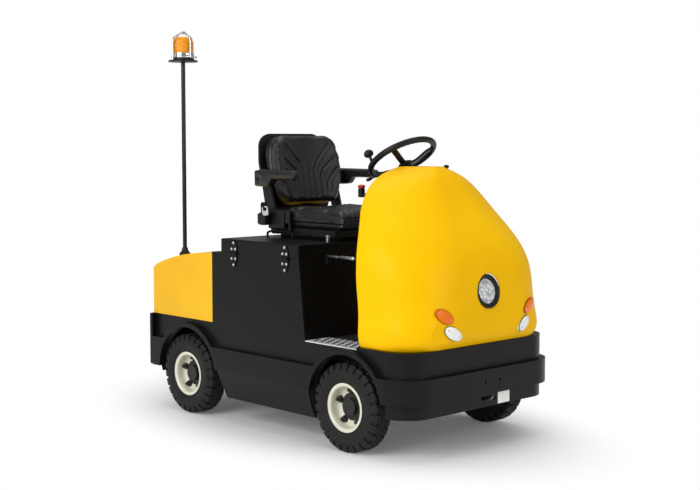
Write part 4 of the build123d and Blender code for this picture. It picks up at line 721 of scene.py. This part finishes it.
def rounded(points, count=8):
    """A path in millimetres through given points with eased corners: each becomes a quadratic curve
    between the middles of its two runs. Point = (1-t)^2*a + 2t(1-t)*corner + t^2*b."""
    points = np.array(points, float) * MM
    middle = (points[1:] + points[:-1]) / 2
    t = np.linspace(0, 1, count)[:, None]
    corners = zip(middle[:-1], points[1:-1], middle[1:])
    curves = [(1 - t) ** 2 * a + 2 * t * (1 - t) * p + t ** 2 * b for a, p, b in corners]
    path = np.vstack([points[:1], *curves, points[-1:]])
    return path[np.concatenate([[True], np.linalg.norm(np.diff(path, axis=0), axis=1) > 1e-6])]


def staggered(columns, rows, start, pitch, shift, level):
    """Spots on a level in columns along X and rows along Y, every second row shifted along X."""
    column, row = np.meshgrid(np.arange(columns), np.arange(rows), indexing="ij")
    x, y = start[0] + pitch[0] * column + shift * (row % 2), start[1] + pitch[1] * row
    return np.stack([x, y, np.full(x.shape, level)], -1).reshape(-1, 3)


print("block, strap, path and spot helpers ready")

# %% Bolts, step treads and the bare plate
DOME_BOLT = ((0, -1), (8.2, -1), (8.2, 1.2), (7.6, 3.0), (5.6, 4.6), (3.0, 5.5), (0, 5.8))
DIAMOND = ((0, 0), (17, 0), (17, 0.9), (15.4, 1.3), (0, 1.3))
HINGE_X, HINGE_Z, HINGE_FACE = np.array((-0.229, 0.166)), 0.86815, -0.509
BOLT_SPREAD = np.array(((0, 55), (-14, 24), (14, 24))) * MM
STEP_TOP = 0.487
for name, body, up in (("upper", "lid", 1), ("lower", "chassis", -1)):
    x = (HINGE_X[:, None] + BOLT_SPREAD[:, 0]).ravel()
    z = np.tile(HINGE_Z + up * BOLT_SPREAD[:, 1], 2)
    spots = np.stack([x, np.full(6, HINGE_FACE), z], 1)
    piece("hinge_bolts_" + name, copies(DOME_BOLT, 20, (0, -1, 0), spots), zinc_plate, body)

grit = coat("black_anti_slip_grit", "#171717", "#0E0E0E", 8, 1.2, 0.5, 0.85, "#2E2D2B", wear=0.3)
for name, side in SIDES:
    spots = staggered(8, 4, (0.3315, side * 0.367), (0.0415, side * 0.0365), 0.0207, STEP_TOP)
    piece("step_grit_" + name, copies(DIAMOND, 4, (0, 0, 1), spots), grit, "chassis", 20)

plate_white = coat(
    "enamelled_plate_white", "#FDFDFB", "#F6F6F3", 40, 2, 0.03, 0.3, "#D8D6D0", wear=0.3, edge_mm=0.6,
)
bare_plate = block((989.5, 106, 199), (991.2, 191, 259), 0.5)
piece("bare_front_plate", bare_plate, plate_white, "chassis")
print("hinge bolts: 12, grit diamonds:", 2 * len(spots))

# %% [markdown]
# Lamps. A moulded lens stands on its facet as a low oval dome: height falls off as the square root of one
# minus the squared distance from the middle. Two small screws hold it, and a dark gasket shows round its
# edge. The headlight is a rolled black ring round a pressed lens, whose face is a field of small prisms:
# the height is the product of two cosines with a 13 mm pitch, laid over a shallow dome.

# %% Oval front lamps
HALF_LONG, HALF_SHORT, TILT, TURN = 0.052, 0.028, math.radians(28), math.radians(11)
FACET = np.array((1.0195, 0.273, 0.611))
SCREW_SPOTS, SCREW_HEIGHT = np.array(((-0.036,), (0.036,))), 0.0098
GASKET = ((0.97, 1.0, 1.0, 0.97, 0.97), (0.001, 0.001, 0.0045, 0.0052, 0.001))
OVALS = (
    # solid, offset on the facet outwards and up, finish, slot
    ("turn_lamps", (0.024, 0.040), lens_amber, "lens_amber"),
    ("marker_lamps", (-0.024, -0.040), lens_white, "lens_white"),
)


def lamp_axes(side, offset):
    """Middle, long axis and outward direction of one oval lamp, whose facet leans to its side."""
    out, up = np.array((math.cos(TURN), side * math.sin(TURN), 0)), np.array((0.0, 0.0, 1.0))
    across = np.array((-out[1], out[0], 0))
    middle = FACET * (1, side, 1) + side * offset[0] * across + offset[1] * up
    return middle, math.cos(TILT) * across + side * math.sin(TILT) * up, out


def oval(axes, share, height):
    """Oval lamp: share of the half axes and height over the facet, for rings of 48 points.
    Point = middle + long half axis*cos along the tilted axis + short half axis*sin square to it."""
    middle, long_axis, out = axes
    angle = np.linspace(0, 2 * np.pi, 48, endpoint=False)[None, :, None]
    share, height = np.array(share)[:, None, None], np.array(height)[:, None, None]
    ring = np.cos(angle) * HALF_LONG * long_axis + np.sin(angle) * HALF_SHORT * np.cross(out, long_axis)
    return middle + share * ring + height * out, grid_faces(len(share), 48, wrap_columns=True)


across_share = np.sin(np.linspace(np.pi / 2, 0, 12))
dome_height = 0.0045 + 0.0075 * np.sqrt(np.maximum(0, 1 - across_share ** 2))
dome = 0.985 * np.concatenate([[1, 1], across_share]), np.concatenate([[-0.02, 0.0035], dome_height])
gasket = coat("moulded_gasket_rubber", "#202020", "#181818", 20, 2, 0.05, 0.6, "#303030", wear=0.2)
screws = []
for node, offset, finish, slot in OVALS:
    pair = [lamp_axes(side, offset) for _, side in SIDES]
    domes, rims = (joined(*(oval(axes, *form) for axes in pair)) for form in (dome, GASKET))
    piece("domed_" + node, domes, finish, "chassis", instead_of=node)
    piece("gaskets_of_" + node, rims, gasket, "chassis")
    for middle, long_axis, out in pair:
        spots = middle + SCREW_SPOTS * long_axis + SCREW_HEIGHT * out
        screws.append(copies(DOME_BOLT, 12, out, spots, 0.45))
piece("lens_screws", joined(*screws), zinc_plate, "chassis")
print("oval lenses:", 2 * len(OVALS))

# %% Headlight and tail lamps
HEAD, HEAD_TILT, HEAD_R, PRISM = np.array((1.013, 0.0, 0.744)), math.radians(12), 58.4, 13
HEAD_OUT = np.array((math.cos(HEAD_TILT), 0.0, math.sin(HEAD_TILT)))
RING = (
    (59.2, -20), (79.6, -20), (79.6, 1), (79, 4), (76.5, 5.8), (72, 6), (66, 3.5), (61.5, 0), (59.4, -4),
    (59.2, -20),
)
head_ring = turned(RING, HEAD, HEAD_OUT, 96)
piece("rolled_headlight_ring", head_ring, abs_black, "chassis", 40, "headlight_ring")
axis, u, v = upright(HEAD_OUT)
turn = np.linspace(0, 2 * np.pi, 120, endpoint=False)
share, turn = np.meshgrid(np.linspace(0, 1, 40), turn, indexing="ij")
left, up = HEAD_R * share * np.cos(turn), HEAD_R * share * np.sin(turn)
prism = np.cos(left * 2 * np.pi / PRISM) * np.cos(up * 2 * np.pi / PRISM)
bulge = -6.5 + 6.2 * np.sqrt(np.maximum(0, 1 - share ** 2)) + 0.7 * prism * (share < 0.93)
lens_front = HEAD + (left[..., None] * u + up[..., None] * v + bulge[..., None] * axis) * MM
lens_back = turned(((HEAD_R, -6.5), (HEAD_R, -20), (0, -20)), HEAD, HEAD_OUT, 120)
head_lens = joined((lens_front, grid_faces(40, 120, wrap_columns=True)), lens_back)
piece("pressed_headlight_lens", head_lens, lamp_glass, "chassis", 60, "headlight_lens")

TAIL = ((0, -12), (38.4, -12), (39.6, 4), (38, 9), (33, 12.5), (22, 14.6), (0, 15.6))
TAIL_RIM = ((39, 0), (46, 0), (46, 2.5), (44.5, 4.2), (41, 4.8), (39, 4))
spots = np.array(((-0.937, -0.400, 0.640), (-0.937, 0.400, 0.640)))
tail_lens, tail_rim = (copies(profile, 64, (-1, 0, 0), spots) for profile in (TAIL, TAIL_RIM))
piece("domed_tail_lamps", tail_lens, lens_red, "chassis", instead_of="tail_lamps")
piece("tail_lamp_gaskets", tail_rim, gasket, "chassis")
print("headlight and 2 tail lamps ready")

# %% [markdown]
# The beacon: a turned base with a bright collar and three thumb screws, a ribbed amber dome and a guard of
# bent wire. Its solid holds the base and the guard in one, so this set replaces it.

# %% Beacon
POST, POLE_FOOT = np.array((-0.715, -0.455, 1.850)), np.array((-0.715, -0.455, 0.837))
UP = np.array((0.0, 0.0, 1.0))
BASE = (
    (0, 0), (74, 0), (77.5, 1.5), (78, 4), (77, 8), (72, 10), (62, 10.6), (59, 13), (58, 18), (58, 22),
    (0, 22),
)
COLLAR = (
    (50, 21), (58.5, 21), (60, 23), (60, 30), (58.4, 32), (57.4, 36), (57.8, 44), (56.5, 47.5), (53, 48.2),
    (50, 48),
)
KNOB = ((0, 0), (3, 0), (3, 10), (9, 10.5), (10, 12), (10, 17), (9, 18.5), (0, 19))
FLANGE = ((0, 0), (19, 0), (19, 6), (15, 9), (12.4, 16), (11.6, 24), (11, 24))
DOME = np.array((
    (50.5, 40), (50.5, 48), (51, 52), (51, 80), (50.4, 100), (48.5, 112), (44.5, 121), (38, 127.5), (28, 131),
    (12, 132), (0, 132),
))
RIBS, GUARD_R, WIRE_R = 36, 0.066, 0.0042
GUARD_FOOT, GUARD_BEND, GUARD_CROWN = 0.008, 0.100, 0.0565
THUMB_OUT, THUMB_UP = 0.059, 0.0265
piece("beacon_foot", turned(BASE, POST, UP, 72), abs_black, "chassis", 40)
piece("beacon_collar", turned(COLLAR, POST, UP, 72), chrome_plate, "chassis", 50)
guard_turn = np.linspace(0, np.pi, 25)[:, None]
rise = np.linspace(0, 1, 8)[1:-1, None]
hoops = []
for direction, drop in ((np.array((1.0, 0, 0)), 0.0), (np.array((0, 1.0, 0)), 0.0062)):
    crest = GUARD_BEND + (GUARD_CROWN - drop) * np.sin(guard_turn)
    arc = GUARD_R * np.cos(guard_turn) * direction + crest * UP
    legs = np.array(((1.0,), (-1.0,))) * GUARD_R * direction + GUARD_FOOT * UP
    up, down = legs[:1] + rise * (arc[0] - legs[0]), arc[-1] + rise * (legs[1] - arc[-1])
    path = np.vstack([up, arc, down, legs[1:]])
    hoops.append(swept(path + POST, WIRE_R, 12))
piece("beacon_guard", joined(*hoops), chrome_plate, "chassis", instead_of="beacon_base")
spokes = [np.array((math.cos(a), math.sin(a), 0)) for a in np.radians((45, 165, 285))]
thumbs = [copies(KNOB, 24, spoke, [POST + THUMB_OUT * spoke + THUMB_UP * UP], 0.7) for spoke in spokes]
piece("beacon_thumb_screws", joined(*thumbs), zinc_plate, "chassis")
turn = np.linspace(0, 2 * np.pi, 8 * RIBS, endpoint=False)[:, None]
reach = DOME[:, 0] * (1 + 0.012 * np.cos(RIBS * turn) * (DOME[:, 1] > 50) * (DOME[:, 1] < 126))
dome_points = np.stack([reach * np.cos(turn), reach * np.sin(turn), DOME[:, 1] + 0 * turn], -1) * MM + POST
dome_shape = dome_points, grid_faces(len(turn), len(DOME), wrap_rows=True)
piece("beacon_dome", dome_shape, beacon_amber, "chassis", 60, "beacon_lens")
piece("pole_foot_collar", turned(FLANGE, POLE_FOOT, UP, 36, 1.3), cast_black, "chassis")
print("beacon pieces: 6")

# %% [markdown]
# Steering wheel. The rim is a ring of constant section with shallow finger waves pressed into its
# underside. Three flat spokes fall in an S curve from the rim to the hub, and a mushroom knob stands on the
# rim, so that the wheel can be spun with one hand. It could be swept from curves, but arrays keep the waves
# exact and the mesh light.

# %% Steering wheel
WHEEL_CENTRE = np.array((0.460, 0.0, 1.355))
WHEEL_TURN = np.stack([(0, 1, 0), (-0.848048, 0, -0.529919), (-0.529919, 0, 0.848048)], 1)
RIM_R, RIM_THICK, WAVES = 165, 15.2, 40
HORN = (
    (0, -51.7), (36, -51.7), (38, -50), (38, -41), (36.5, -37), (31, -34), (30, -34.5), (29.4, -33),
    (24, -30), (12, -28), (0, -27.5),
)
SPINNER = (
    (0, 0), (7, 0), (7, 34), (9, 38), (17, 41), (22.5, 46), (24, 53), (23, 60), (19, 67), (12, 72), (5, 74),
    (0, 74.3),
)
SPINNER_R, SPINNER_TURN = 166.4, math.radians(161)


def on_wheel(points):
    """Points in millimetres in the wheel's own frame (left, backwards, along the column) put in place."""
    return np.array(points, float) * MM @ WHEEL_TURN.T + WHEEL_CENTRE


around = np.linspace(0, 2 * np.pi, 240, endpoint=False)[:, None]
tube = np.linspace(0, 2 * np.pi, 20, endpoint=False)[None, :]
thick = RIM_THICK - 0.9 * np.clip(-np.sin(tube), 0, 1) * (1 + np.cos(WAVES * around)) / 2
reach = RIM_R + thick * np.cos(tube)
rim = on_wheel(np.stack([reach * np.cos(around), reach * np.sin(around), thick * np.sin(tube)], -1))
wheel_parts = [(rim, grid_faces(240, 20, True, True))]
out = np.linspace(22, 160, 24)
fall = -41 + 39 * step(out, 30, 155)
for angle in np.radians((90, 210, 330)):
    path = on_wheel(np.stack([out * math.cos(angle), out * math.sin(angle), fall], 1))
    sideways = WHEEL_TURN @ np.array((-math.sin(angle), math.cos(angle), 0))
    wheel_parts.append(strap(path, sideways, 0.030, 0.011))
wheel_parts.append(turned(HORN, WHEEL_CENTRE, WHEEL_TURN[:, 2], 64))
knob_spot = on_wheel((SPINNER_R * math.cos(SPINNER_TURN), SPINNER_R * math.sin(SPINNER_TURN), 0))
wheel_parts.append(turned(SPINNER, knob_spot, WHEEL_TURN[:, 2], 36))
steering = piece(
    "moulded_steering_wheel", joined(*wheel_parts), abs_black, "steering_wheel", 40,
    instead_of="steering_wheel",
)
print("steering wheel points:", len(steering.data.vertices))

# %% [markdown]
# Small controls. Thin rods are tubes swept along an eased path; knobs are lathe profiles. The dash carries
# a dial, a key switch and a stop button on its sloping face, whose X falls
# by 72 mm over a rise of 230 mm.

# %% Stalk and levers
STALK_KNOB = ((0, -14), (6, -14), (8, -11), (8.6, 0), (8, 10), (5, 14), (0, 15))
ROD = (
    (0, 0), (5, 0), (5, 58), (7.5, 59), (7.5, 68), (5, 69), (5, 94), (8.6, 96), (9.4, 99), (9.4, 176),
    (8.4, 186), (5, 192), (0, 194),
)
ROD_LENGTH = 0.194
red_plastic = coat(
    "moulded_plastic_red", "#B8211A", "#A51A14", 30, 2, 0.06, 0.4, "#D4544C", wear=0.3, edge_mm=0.8,
)
stalk_path = rounded(((490, -20, 1306), (478, -90, 1296), (462, -170, 1268), (450, -208, 1254)))
stalk_knob = turned(STALK_KNOB, (0.447, -0.215, 1.251), (-0.2, -0.93, -0.3), 20)
stalk = joined(swept(stalk_path, 0.0045, 10), stalk_knob)
piece("turn_signal_stalk", stalk, abs_black, "chassis")
arm_path = rounded(((574, -262, 1179), (520, -266, 1178), (476, -281, 1180), (466, -283, 1192)))
blade = block((452, -296, 1168), (480, -270, 1212), 4)
piece("direction_lever", joined(swept(arm_path, 0.007, 12), blade), abs_black, "chassis")
lever_cap = block((450, -298, 1209), (482, -268, 1228), 6)
piece("direction_lever_cap", lever_cap, red_plastic, "chassis")
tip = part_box("brake_lever")[1][0]
brake_rod = turned(ROD, (tip - ROD_LENGTH, -0.330, 0.877), (1, 0, 0), 28)
piece("plated_brake_lever", brake_rod, zinc_plate, "chassis", 40, "brake_lever")
clevis = block((264, -343, 838), (290, -317, 884), 3)
piece("brake_lever_bracket", clevis, powder_black, "chassis")
print("stalk, direction lever and brake lever ready")

# %% Dash controls
FACE_OUT = np.array((-0.9543, 0.0, -0.2987))
BEZEL = ((0, -2), (37, -2), (38, 3), (36, 7), (33, 7.5), (32, 4), (0, 4))
DIAL_FACE = ((0, 3.5), (31, 3.5), (31, 4.6), (0, 4.6))
KEY = ((0, -2), (15, -2), (15, 5), (13, 8), (9, 8.5), (8.5, 12), (0, 12))
STOP = ((0, -2), (13, -2), (13, 8), (20, 9), (22, 13), (21, 18), (14, 21), (0, 22))
BUTTON = ((0, -6), (10, -6), (10, 4), (13, 6), (14, 10), (12, 15), (7, 18), (0, 19))
CONTROLS = (
    # name, profile, width and height on the dash in millimetres, points round, finish, slot, sharp angle
    ("dash_dial", BEZEL, 118, 1200, 48, chrome_plate, "plated_steel", 30),
    ("dash_dial_face", DIAL_FACE, 118, 1200, 48, lens_white, "lens_white", 35),
    ("dash_key_switch", KEY, -118, 1196, 32, zinc_plate, "plated_steel", 30),
    ("dash_stop_button", STOP, 196, 1170, 36, red_plastic, "lens_red", 30),
)
for name, profile, y, z, count, finish, slot, sharp in CONTROLS:
    spot = np.array((594 - 72 * (z - 1110) / 230, y, z)) * MM
    piece(name, turned(profile, spot, FACE_OUT, count), finish, "chassis", sharp)
_, crown, _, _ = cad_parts["cowl"].ray_cast((0.655, 0.105, 2.0), (0, 0, -1))
piece("cowl_top_knob", turned(BUTTON, tuple(crown), UP, 32), abs_black, "chassis")
print("dash controls:", len(CONTROLS), "knob on the cowl at", np.round(tuple(crown), 3).tolist())

# %% [markdown]
# Round the seat. A dark skirt closes the space behind the cushion, side covers hide the backrest's hinges
# and bent bars guard the slides. On the right a belt reel stands on the side cover, with the plated tongue
# of the belt parked on a short end of webbing.

# %% Seat skirt, slide guards and lid catch
PEG = ((0, -1), (9, -1), (9, 24), (12, 24.5), (12.5, 26), (12.5, 30), (11, 31.5), (0, 32))
covers = [block((-262, side * 249 - 5, 984), (-136, side * 249 + 5, 1084), 4) for _, side in SIDES]
skirt = joined(block((-184, -216, 991), (-170, 216, 1078), 3), *covers)
piece("seat_rear_skirt", skirt, abs_black, "seat")
bars = []
for _, side in SIDES:
    y = side * 258
    bars.append(swept(rounded(((-262, y, 941), (-262, y, 974), (-60, y, 974), (-60, y, 941)), 10), 0.006, 12))
piece("seat_slide_guards", joined(*bars), powder_black, "lid")
piece("lid_catch_peg", turned(PEG, (0.205, -0.262, 0.940), UP, 32), zinc_plate, "lid", 30)
print("skirt, guards and catch ready")

# %% Seat belt
webbing, tree, shader, where = start("woven_polyester_webbing", Roughness=0.8, Specular_IOR_Level=0.15)
weave = add(
    tree, "TexWave", {"Vector": where, "Scale": WAVE_PER_METRE / (1.6 * MM), "Distortion": 0.4},
    bands_direction="DIAGONAL",
).outputs["Fac"]
wire(tree, shader, Base_Color=ramp(tree, weave, "#101010", "#232323"), Normal=bumped(tree, weave, 0.6, 0.3))
piece("belt_reel", block((-300, -300, 1002), (-236, -254, 1066), 8), abs_black, "seat")
belt_path = rounded(((-268, -279, 1060), (-268, -282, 1110), (-236, -300, 1126), (-212, -313, 1092)), 10)
piece("belt_webbing", strap(belt_path, (0.3, 0.954, 0), 0.030, 0.0016), webbing, "seat")
TONGUE_TURN = np.stack([(0.1, 0.1, -0.99), (0.8, 0.59, 0.14), (0.6, -0.8, -0.02)], 1)
TONGUE_SPOT, TONGUE_HALF = np.array((-0.216, -0.312, 1.078)), 1.3
turn = np.linspace(0, 2 * np.pi, 48, endpoint=False)
circle = np.stack([np.cos(turn), np.sin(turn)], 1)


def squared(half, power):
    """Ring of 48 points between oval and rectangle: half sizes times cosine and sine raised to a power."""
    return np.sign(circle) * half * np.abs(circle) ** power


outer, inner = squared((24, 16), 0.45), squared((9, 9), 0.4) + (-8, 0)
ring = np.stack([outer, outer, inner, inner])
level = TONGUE_HALF * np.array((-1, 1, 1, -1))[:, None] + np.zeros(48)
tongue = np.concatenate([ring, level[:, :, None]], 2) * MM @ TONGUE_TURN.T + TONGUE_SPOT
piece("belt_tongue", (tongue, grid_faces(4, 48, True, True)), zinc_plate, "seat", 30)
print("belt reel, webbing and tongue ready")

# %% [markdown]
# Under and inside: liners close the wheel arches, ribs make the pedals and the mat grip, and below the lid
# the cells of the battery carry grey tops, plugs and lead straps.

# %% Arch liners, mat and pedals
LINER_R = np.array((0.2475, 0.2475, 0.2505, 0.2505, 0.2475))
LINER_DEEP = np.array((0.0, 0.046, 0.046, 0.0, 0.0))
MAT_STUD = ((0, -0.5), (9, -0.5), (9, 0.8), (7.6, 1.7), (0, 1.9))
ARCH_R, PANEL_EDGE, TUCK, TUCK_TOP, TUCK_HIGH = 0.249, 0.528, 0.038, 0.262, 0.140
MAT_TOP = 0.483
PEDALS = ((-60, 80), (-190, 64))
PEDAL_FOOT, PEDAL_RISE = np.array((840, 486)), np.array((57, 118))
liners = []
for _, axle, side in CORNERS:
    sweep = np.radians(np.linspace(12, 200 if axle > 0 else 184, 60))[:, None]
    height = AXLE_Z + ARCH_R * np.sin(sweep)
    edge = PANEL_EDGE - TUCK * np.clip((TUCK_TOP - height) / TUCK_HIGH, 0, 1)
    arch = (axle + LINER_R * np.cos(sweep), side * (edge - LINER_DEEP), AXLE_Z + LINER_R * np.sin(sweep))
    points = np.stack(arch, -1)
    ends = points[[0, -1]].mean(1, keepdims=True).repeat(5, 1)
    liners.append((np.concatenate([ends[:1], points, ends[1:]]), grid_faces(62, 5)))
piece("wheel_arch_liners", joined(*liners), chassis_black, "chassis")

spots = staggered(12, 24, (0.326, -0.329), (0.0285, 0.0286), 0.007, MAT_TOP)
piece("floor_mat_studs", copies(MAT_STUD, 14, UP, spots), mat_rubber, "chassis", 50)
ribs = []
for middle, width in PEDALS:
    reach = width / 2 - 5
    for share in np.linspace(0.2, 0.92, 6):
        x, z = PEDAL_FOOT + PEDAL_RISE * share
        ribs.append(swept(np.linspace((x, middle - reach, z), (x, middle + reach, z), 6) * MM, 0.0028, 10))
piece("pedal_ribs", joined(*ribs), mat_rubber, "chassis")
print("mat studs:", len(spots), "pedal ribs:", len(ribs))

# %% Battery tops, plugs and straps
PLUG = ((0, 0), (17, 0), (17, 6), (15, 8), (6, 9), (0, 9))
low, high = np.array(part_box("battery")) / MM
top = high[2]
along, across = np.linspace(low[0] + 8, high[0] - 8, 5), np.linspace(low[1] + 8, high[1] - 8, 7)
along_middle, across_middle = (along[1:] + along[:-1]) / 2, (across[1:] + across[:-1]) / 2
tops = [
    block((a + 3, b + 3, top - 2), (a2 - 3, b2 - 3, top + 5), 3)
    for a, a2 in zip(along[:-1], along[1:]) for b, b2 in zip(across[:-1], across[1:])
]
piece("battery_cell_tops", joined(*tops), case_grey, "chassis")
middle = np.stack(np.meshgrid(along_middle, across_middle, indexing="ij"), -1).reshape(-1, 2)
spots = np.column_stack([middle, np.full(len(middle), top + 4)]) * MM
piece("battery_plugs", copies(PLUG, 24, UP, spots), red_plastic, "chassis")
links = [
    block((a - 34, b - 9, top + 4), (a - 18, b2 + 9, top + 8), 2)
    for a in along_middle for b, b2 in zip(across_middle[:-1], across_middle[1:])
]
piece("battery_straps", joined(*links), zinc_plate, "chassis")
print("cells:", len(tops))

# %% [markdown]
# The studio: a pale floor, three large soft lamps and a bright sky. The camera, the mirrors and the glass
# see the floor and the sky as white, and the floor still takes the shadow close to the object, because
# there only a part of its light is its own. Further out its own light takes over, so that no horizon shows.

# %% Floor and sky
FLOOR_HALF = 30.0
floor_points = FLOOR_HALF * np.array([[-1, -1, 0], [1, -1, 0], [1, 1, 0], [-1, 1, 0]])
floor_mesh = bpy.data.meshes.new("studio_floor")
floor_mesh.from_pydata(floor_points.tolist(), [], [[0, 1, 2, 3]])
floor = bpy.data.objects.new("studio_floor", floor_mesh)
bpy.context.scene.collection.objects.link(floor)
floor_paint, tree, shader, ground = start("matt_studio_floor", Roughness=0.9, Base_Color=linear("#E8E8E8"))
ray = add(tree, "LightPath").outputs
seen = together(tree, "MAXIMUM", ray["Is Camera Ray"], ray["Is Glossy Ray"])
seen = together(tree, "MAXIMUM", seen, ray["Is Transmission Ray"])
scaled = add(tree, "VectorMath", {0: ground, 1: (0.85, 1.45, 1.0)}, operation="MULTIPLY").outputs["Vector"]
away = add(tree, "VectorMath", {0: scaled}, operation="LENGTH").outputs["Value"]
own = add(
    tree, "MapRange", {"Value": away, "From Min": 0.8, "From Max": 1.5, "To Min": 0.08, "To Max": 1.0},
    interpolation_type="SMOOTHSTEP",
).outputs["Result"]
white = add(tree, "Emission", {"Color": (1.0, 1.0, 1.0, 1.0), "Strength": 1.0}).outputs["Emission"]
share = together(tree, "MULTIPLY", seen, own)
blend = add(tree, "MixShader", {0: share, 1: shader.outputs["BSDF"], 2: white}).outputs["Shader"]
tree.links.new(blend, tree.nodes["Material Output"].inputs["Surface"])
floor_mesh.materials.append(floor_paint)

world = bpy.data.worlds.new("bright_studio")
bpy.context.scene.world = world
world.use_nodes = True
tree = world.node_tree
ray = add(tree, "LightPath").outputs
seen = together(tree, "MAXIMUM", ray["Is Camera Ray"], ray["Is Transmission Ray"])
sky = tree.nodes["Background"]
sky.inputs["Color"].default_value = (1.0, 1.0, 1.0, 1.0)
tree.links.new(ranged(tree, seen, 0.0, 1.0, 0.34, 1.0), sky.inputs["Strength"])
print("floor and sky ready")

# %% Lamps and camera
LAMPS = (
    # name, place, aimed at, width, power in watts
    ("key", (0.8, -7.0, 4.0), (0.1, 0.0, 0.7), 5.0, 395),
    ("fill", (6.8, 1.0, 2.6), (0.4, 0.0, 0.8), 4.0, 105),
    ("top", (-0.5, 0.5, 6.0), (0.0, 0.0, 0.5), 5.0, 130),
)
for name, place, aim, width, power in LAMPS:
    lamp = bpy.data.lights.new(name, "AREA")
    lamp.size, lamp.energy = width, power
    holder = bpy.data.objects.new(name, lamp)
    bpy.context.scene.collection.objects.link(holder)
    axis, u, v = upright(np.array(place) - np.array(aim))
    turn = np.eye(4)
    turn[:3, :3], turn[:3, 3] = np.stack([u, v, axis], 1), place
    holder.matrix_world = turn.T.tolist()

# The camera looks down by the first angle and turns from the X axis by the second.
LOOK_DOWN, LOOK_ROUND = math.radians(4.61), math.radians(43.41)
camera = bpy.data.objects.new("camera", bpy.data.cameras.new("camera"))
bpy.context.scene.collection.objects.link(camera)
camera.data.sensor_width, camera.data.lens = 36.0, 65.73
camera.location = (4.837, -4.493, 1.430)
camera.rotation_euler = (math.pi / 2 - LOOK_DOWN, 0.0, math.pi / 2 - LOOK_ROUND)
bpy.context.scene.camera = camera
bpy.context.scene.view_settings.view_transform = "Standard"
print("studio ready")
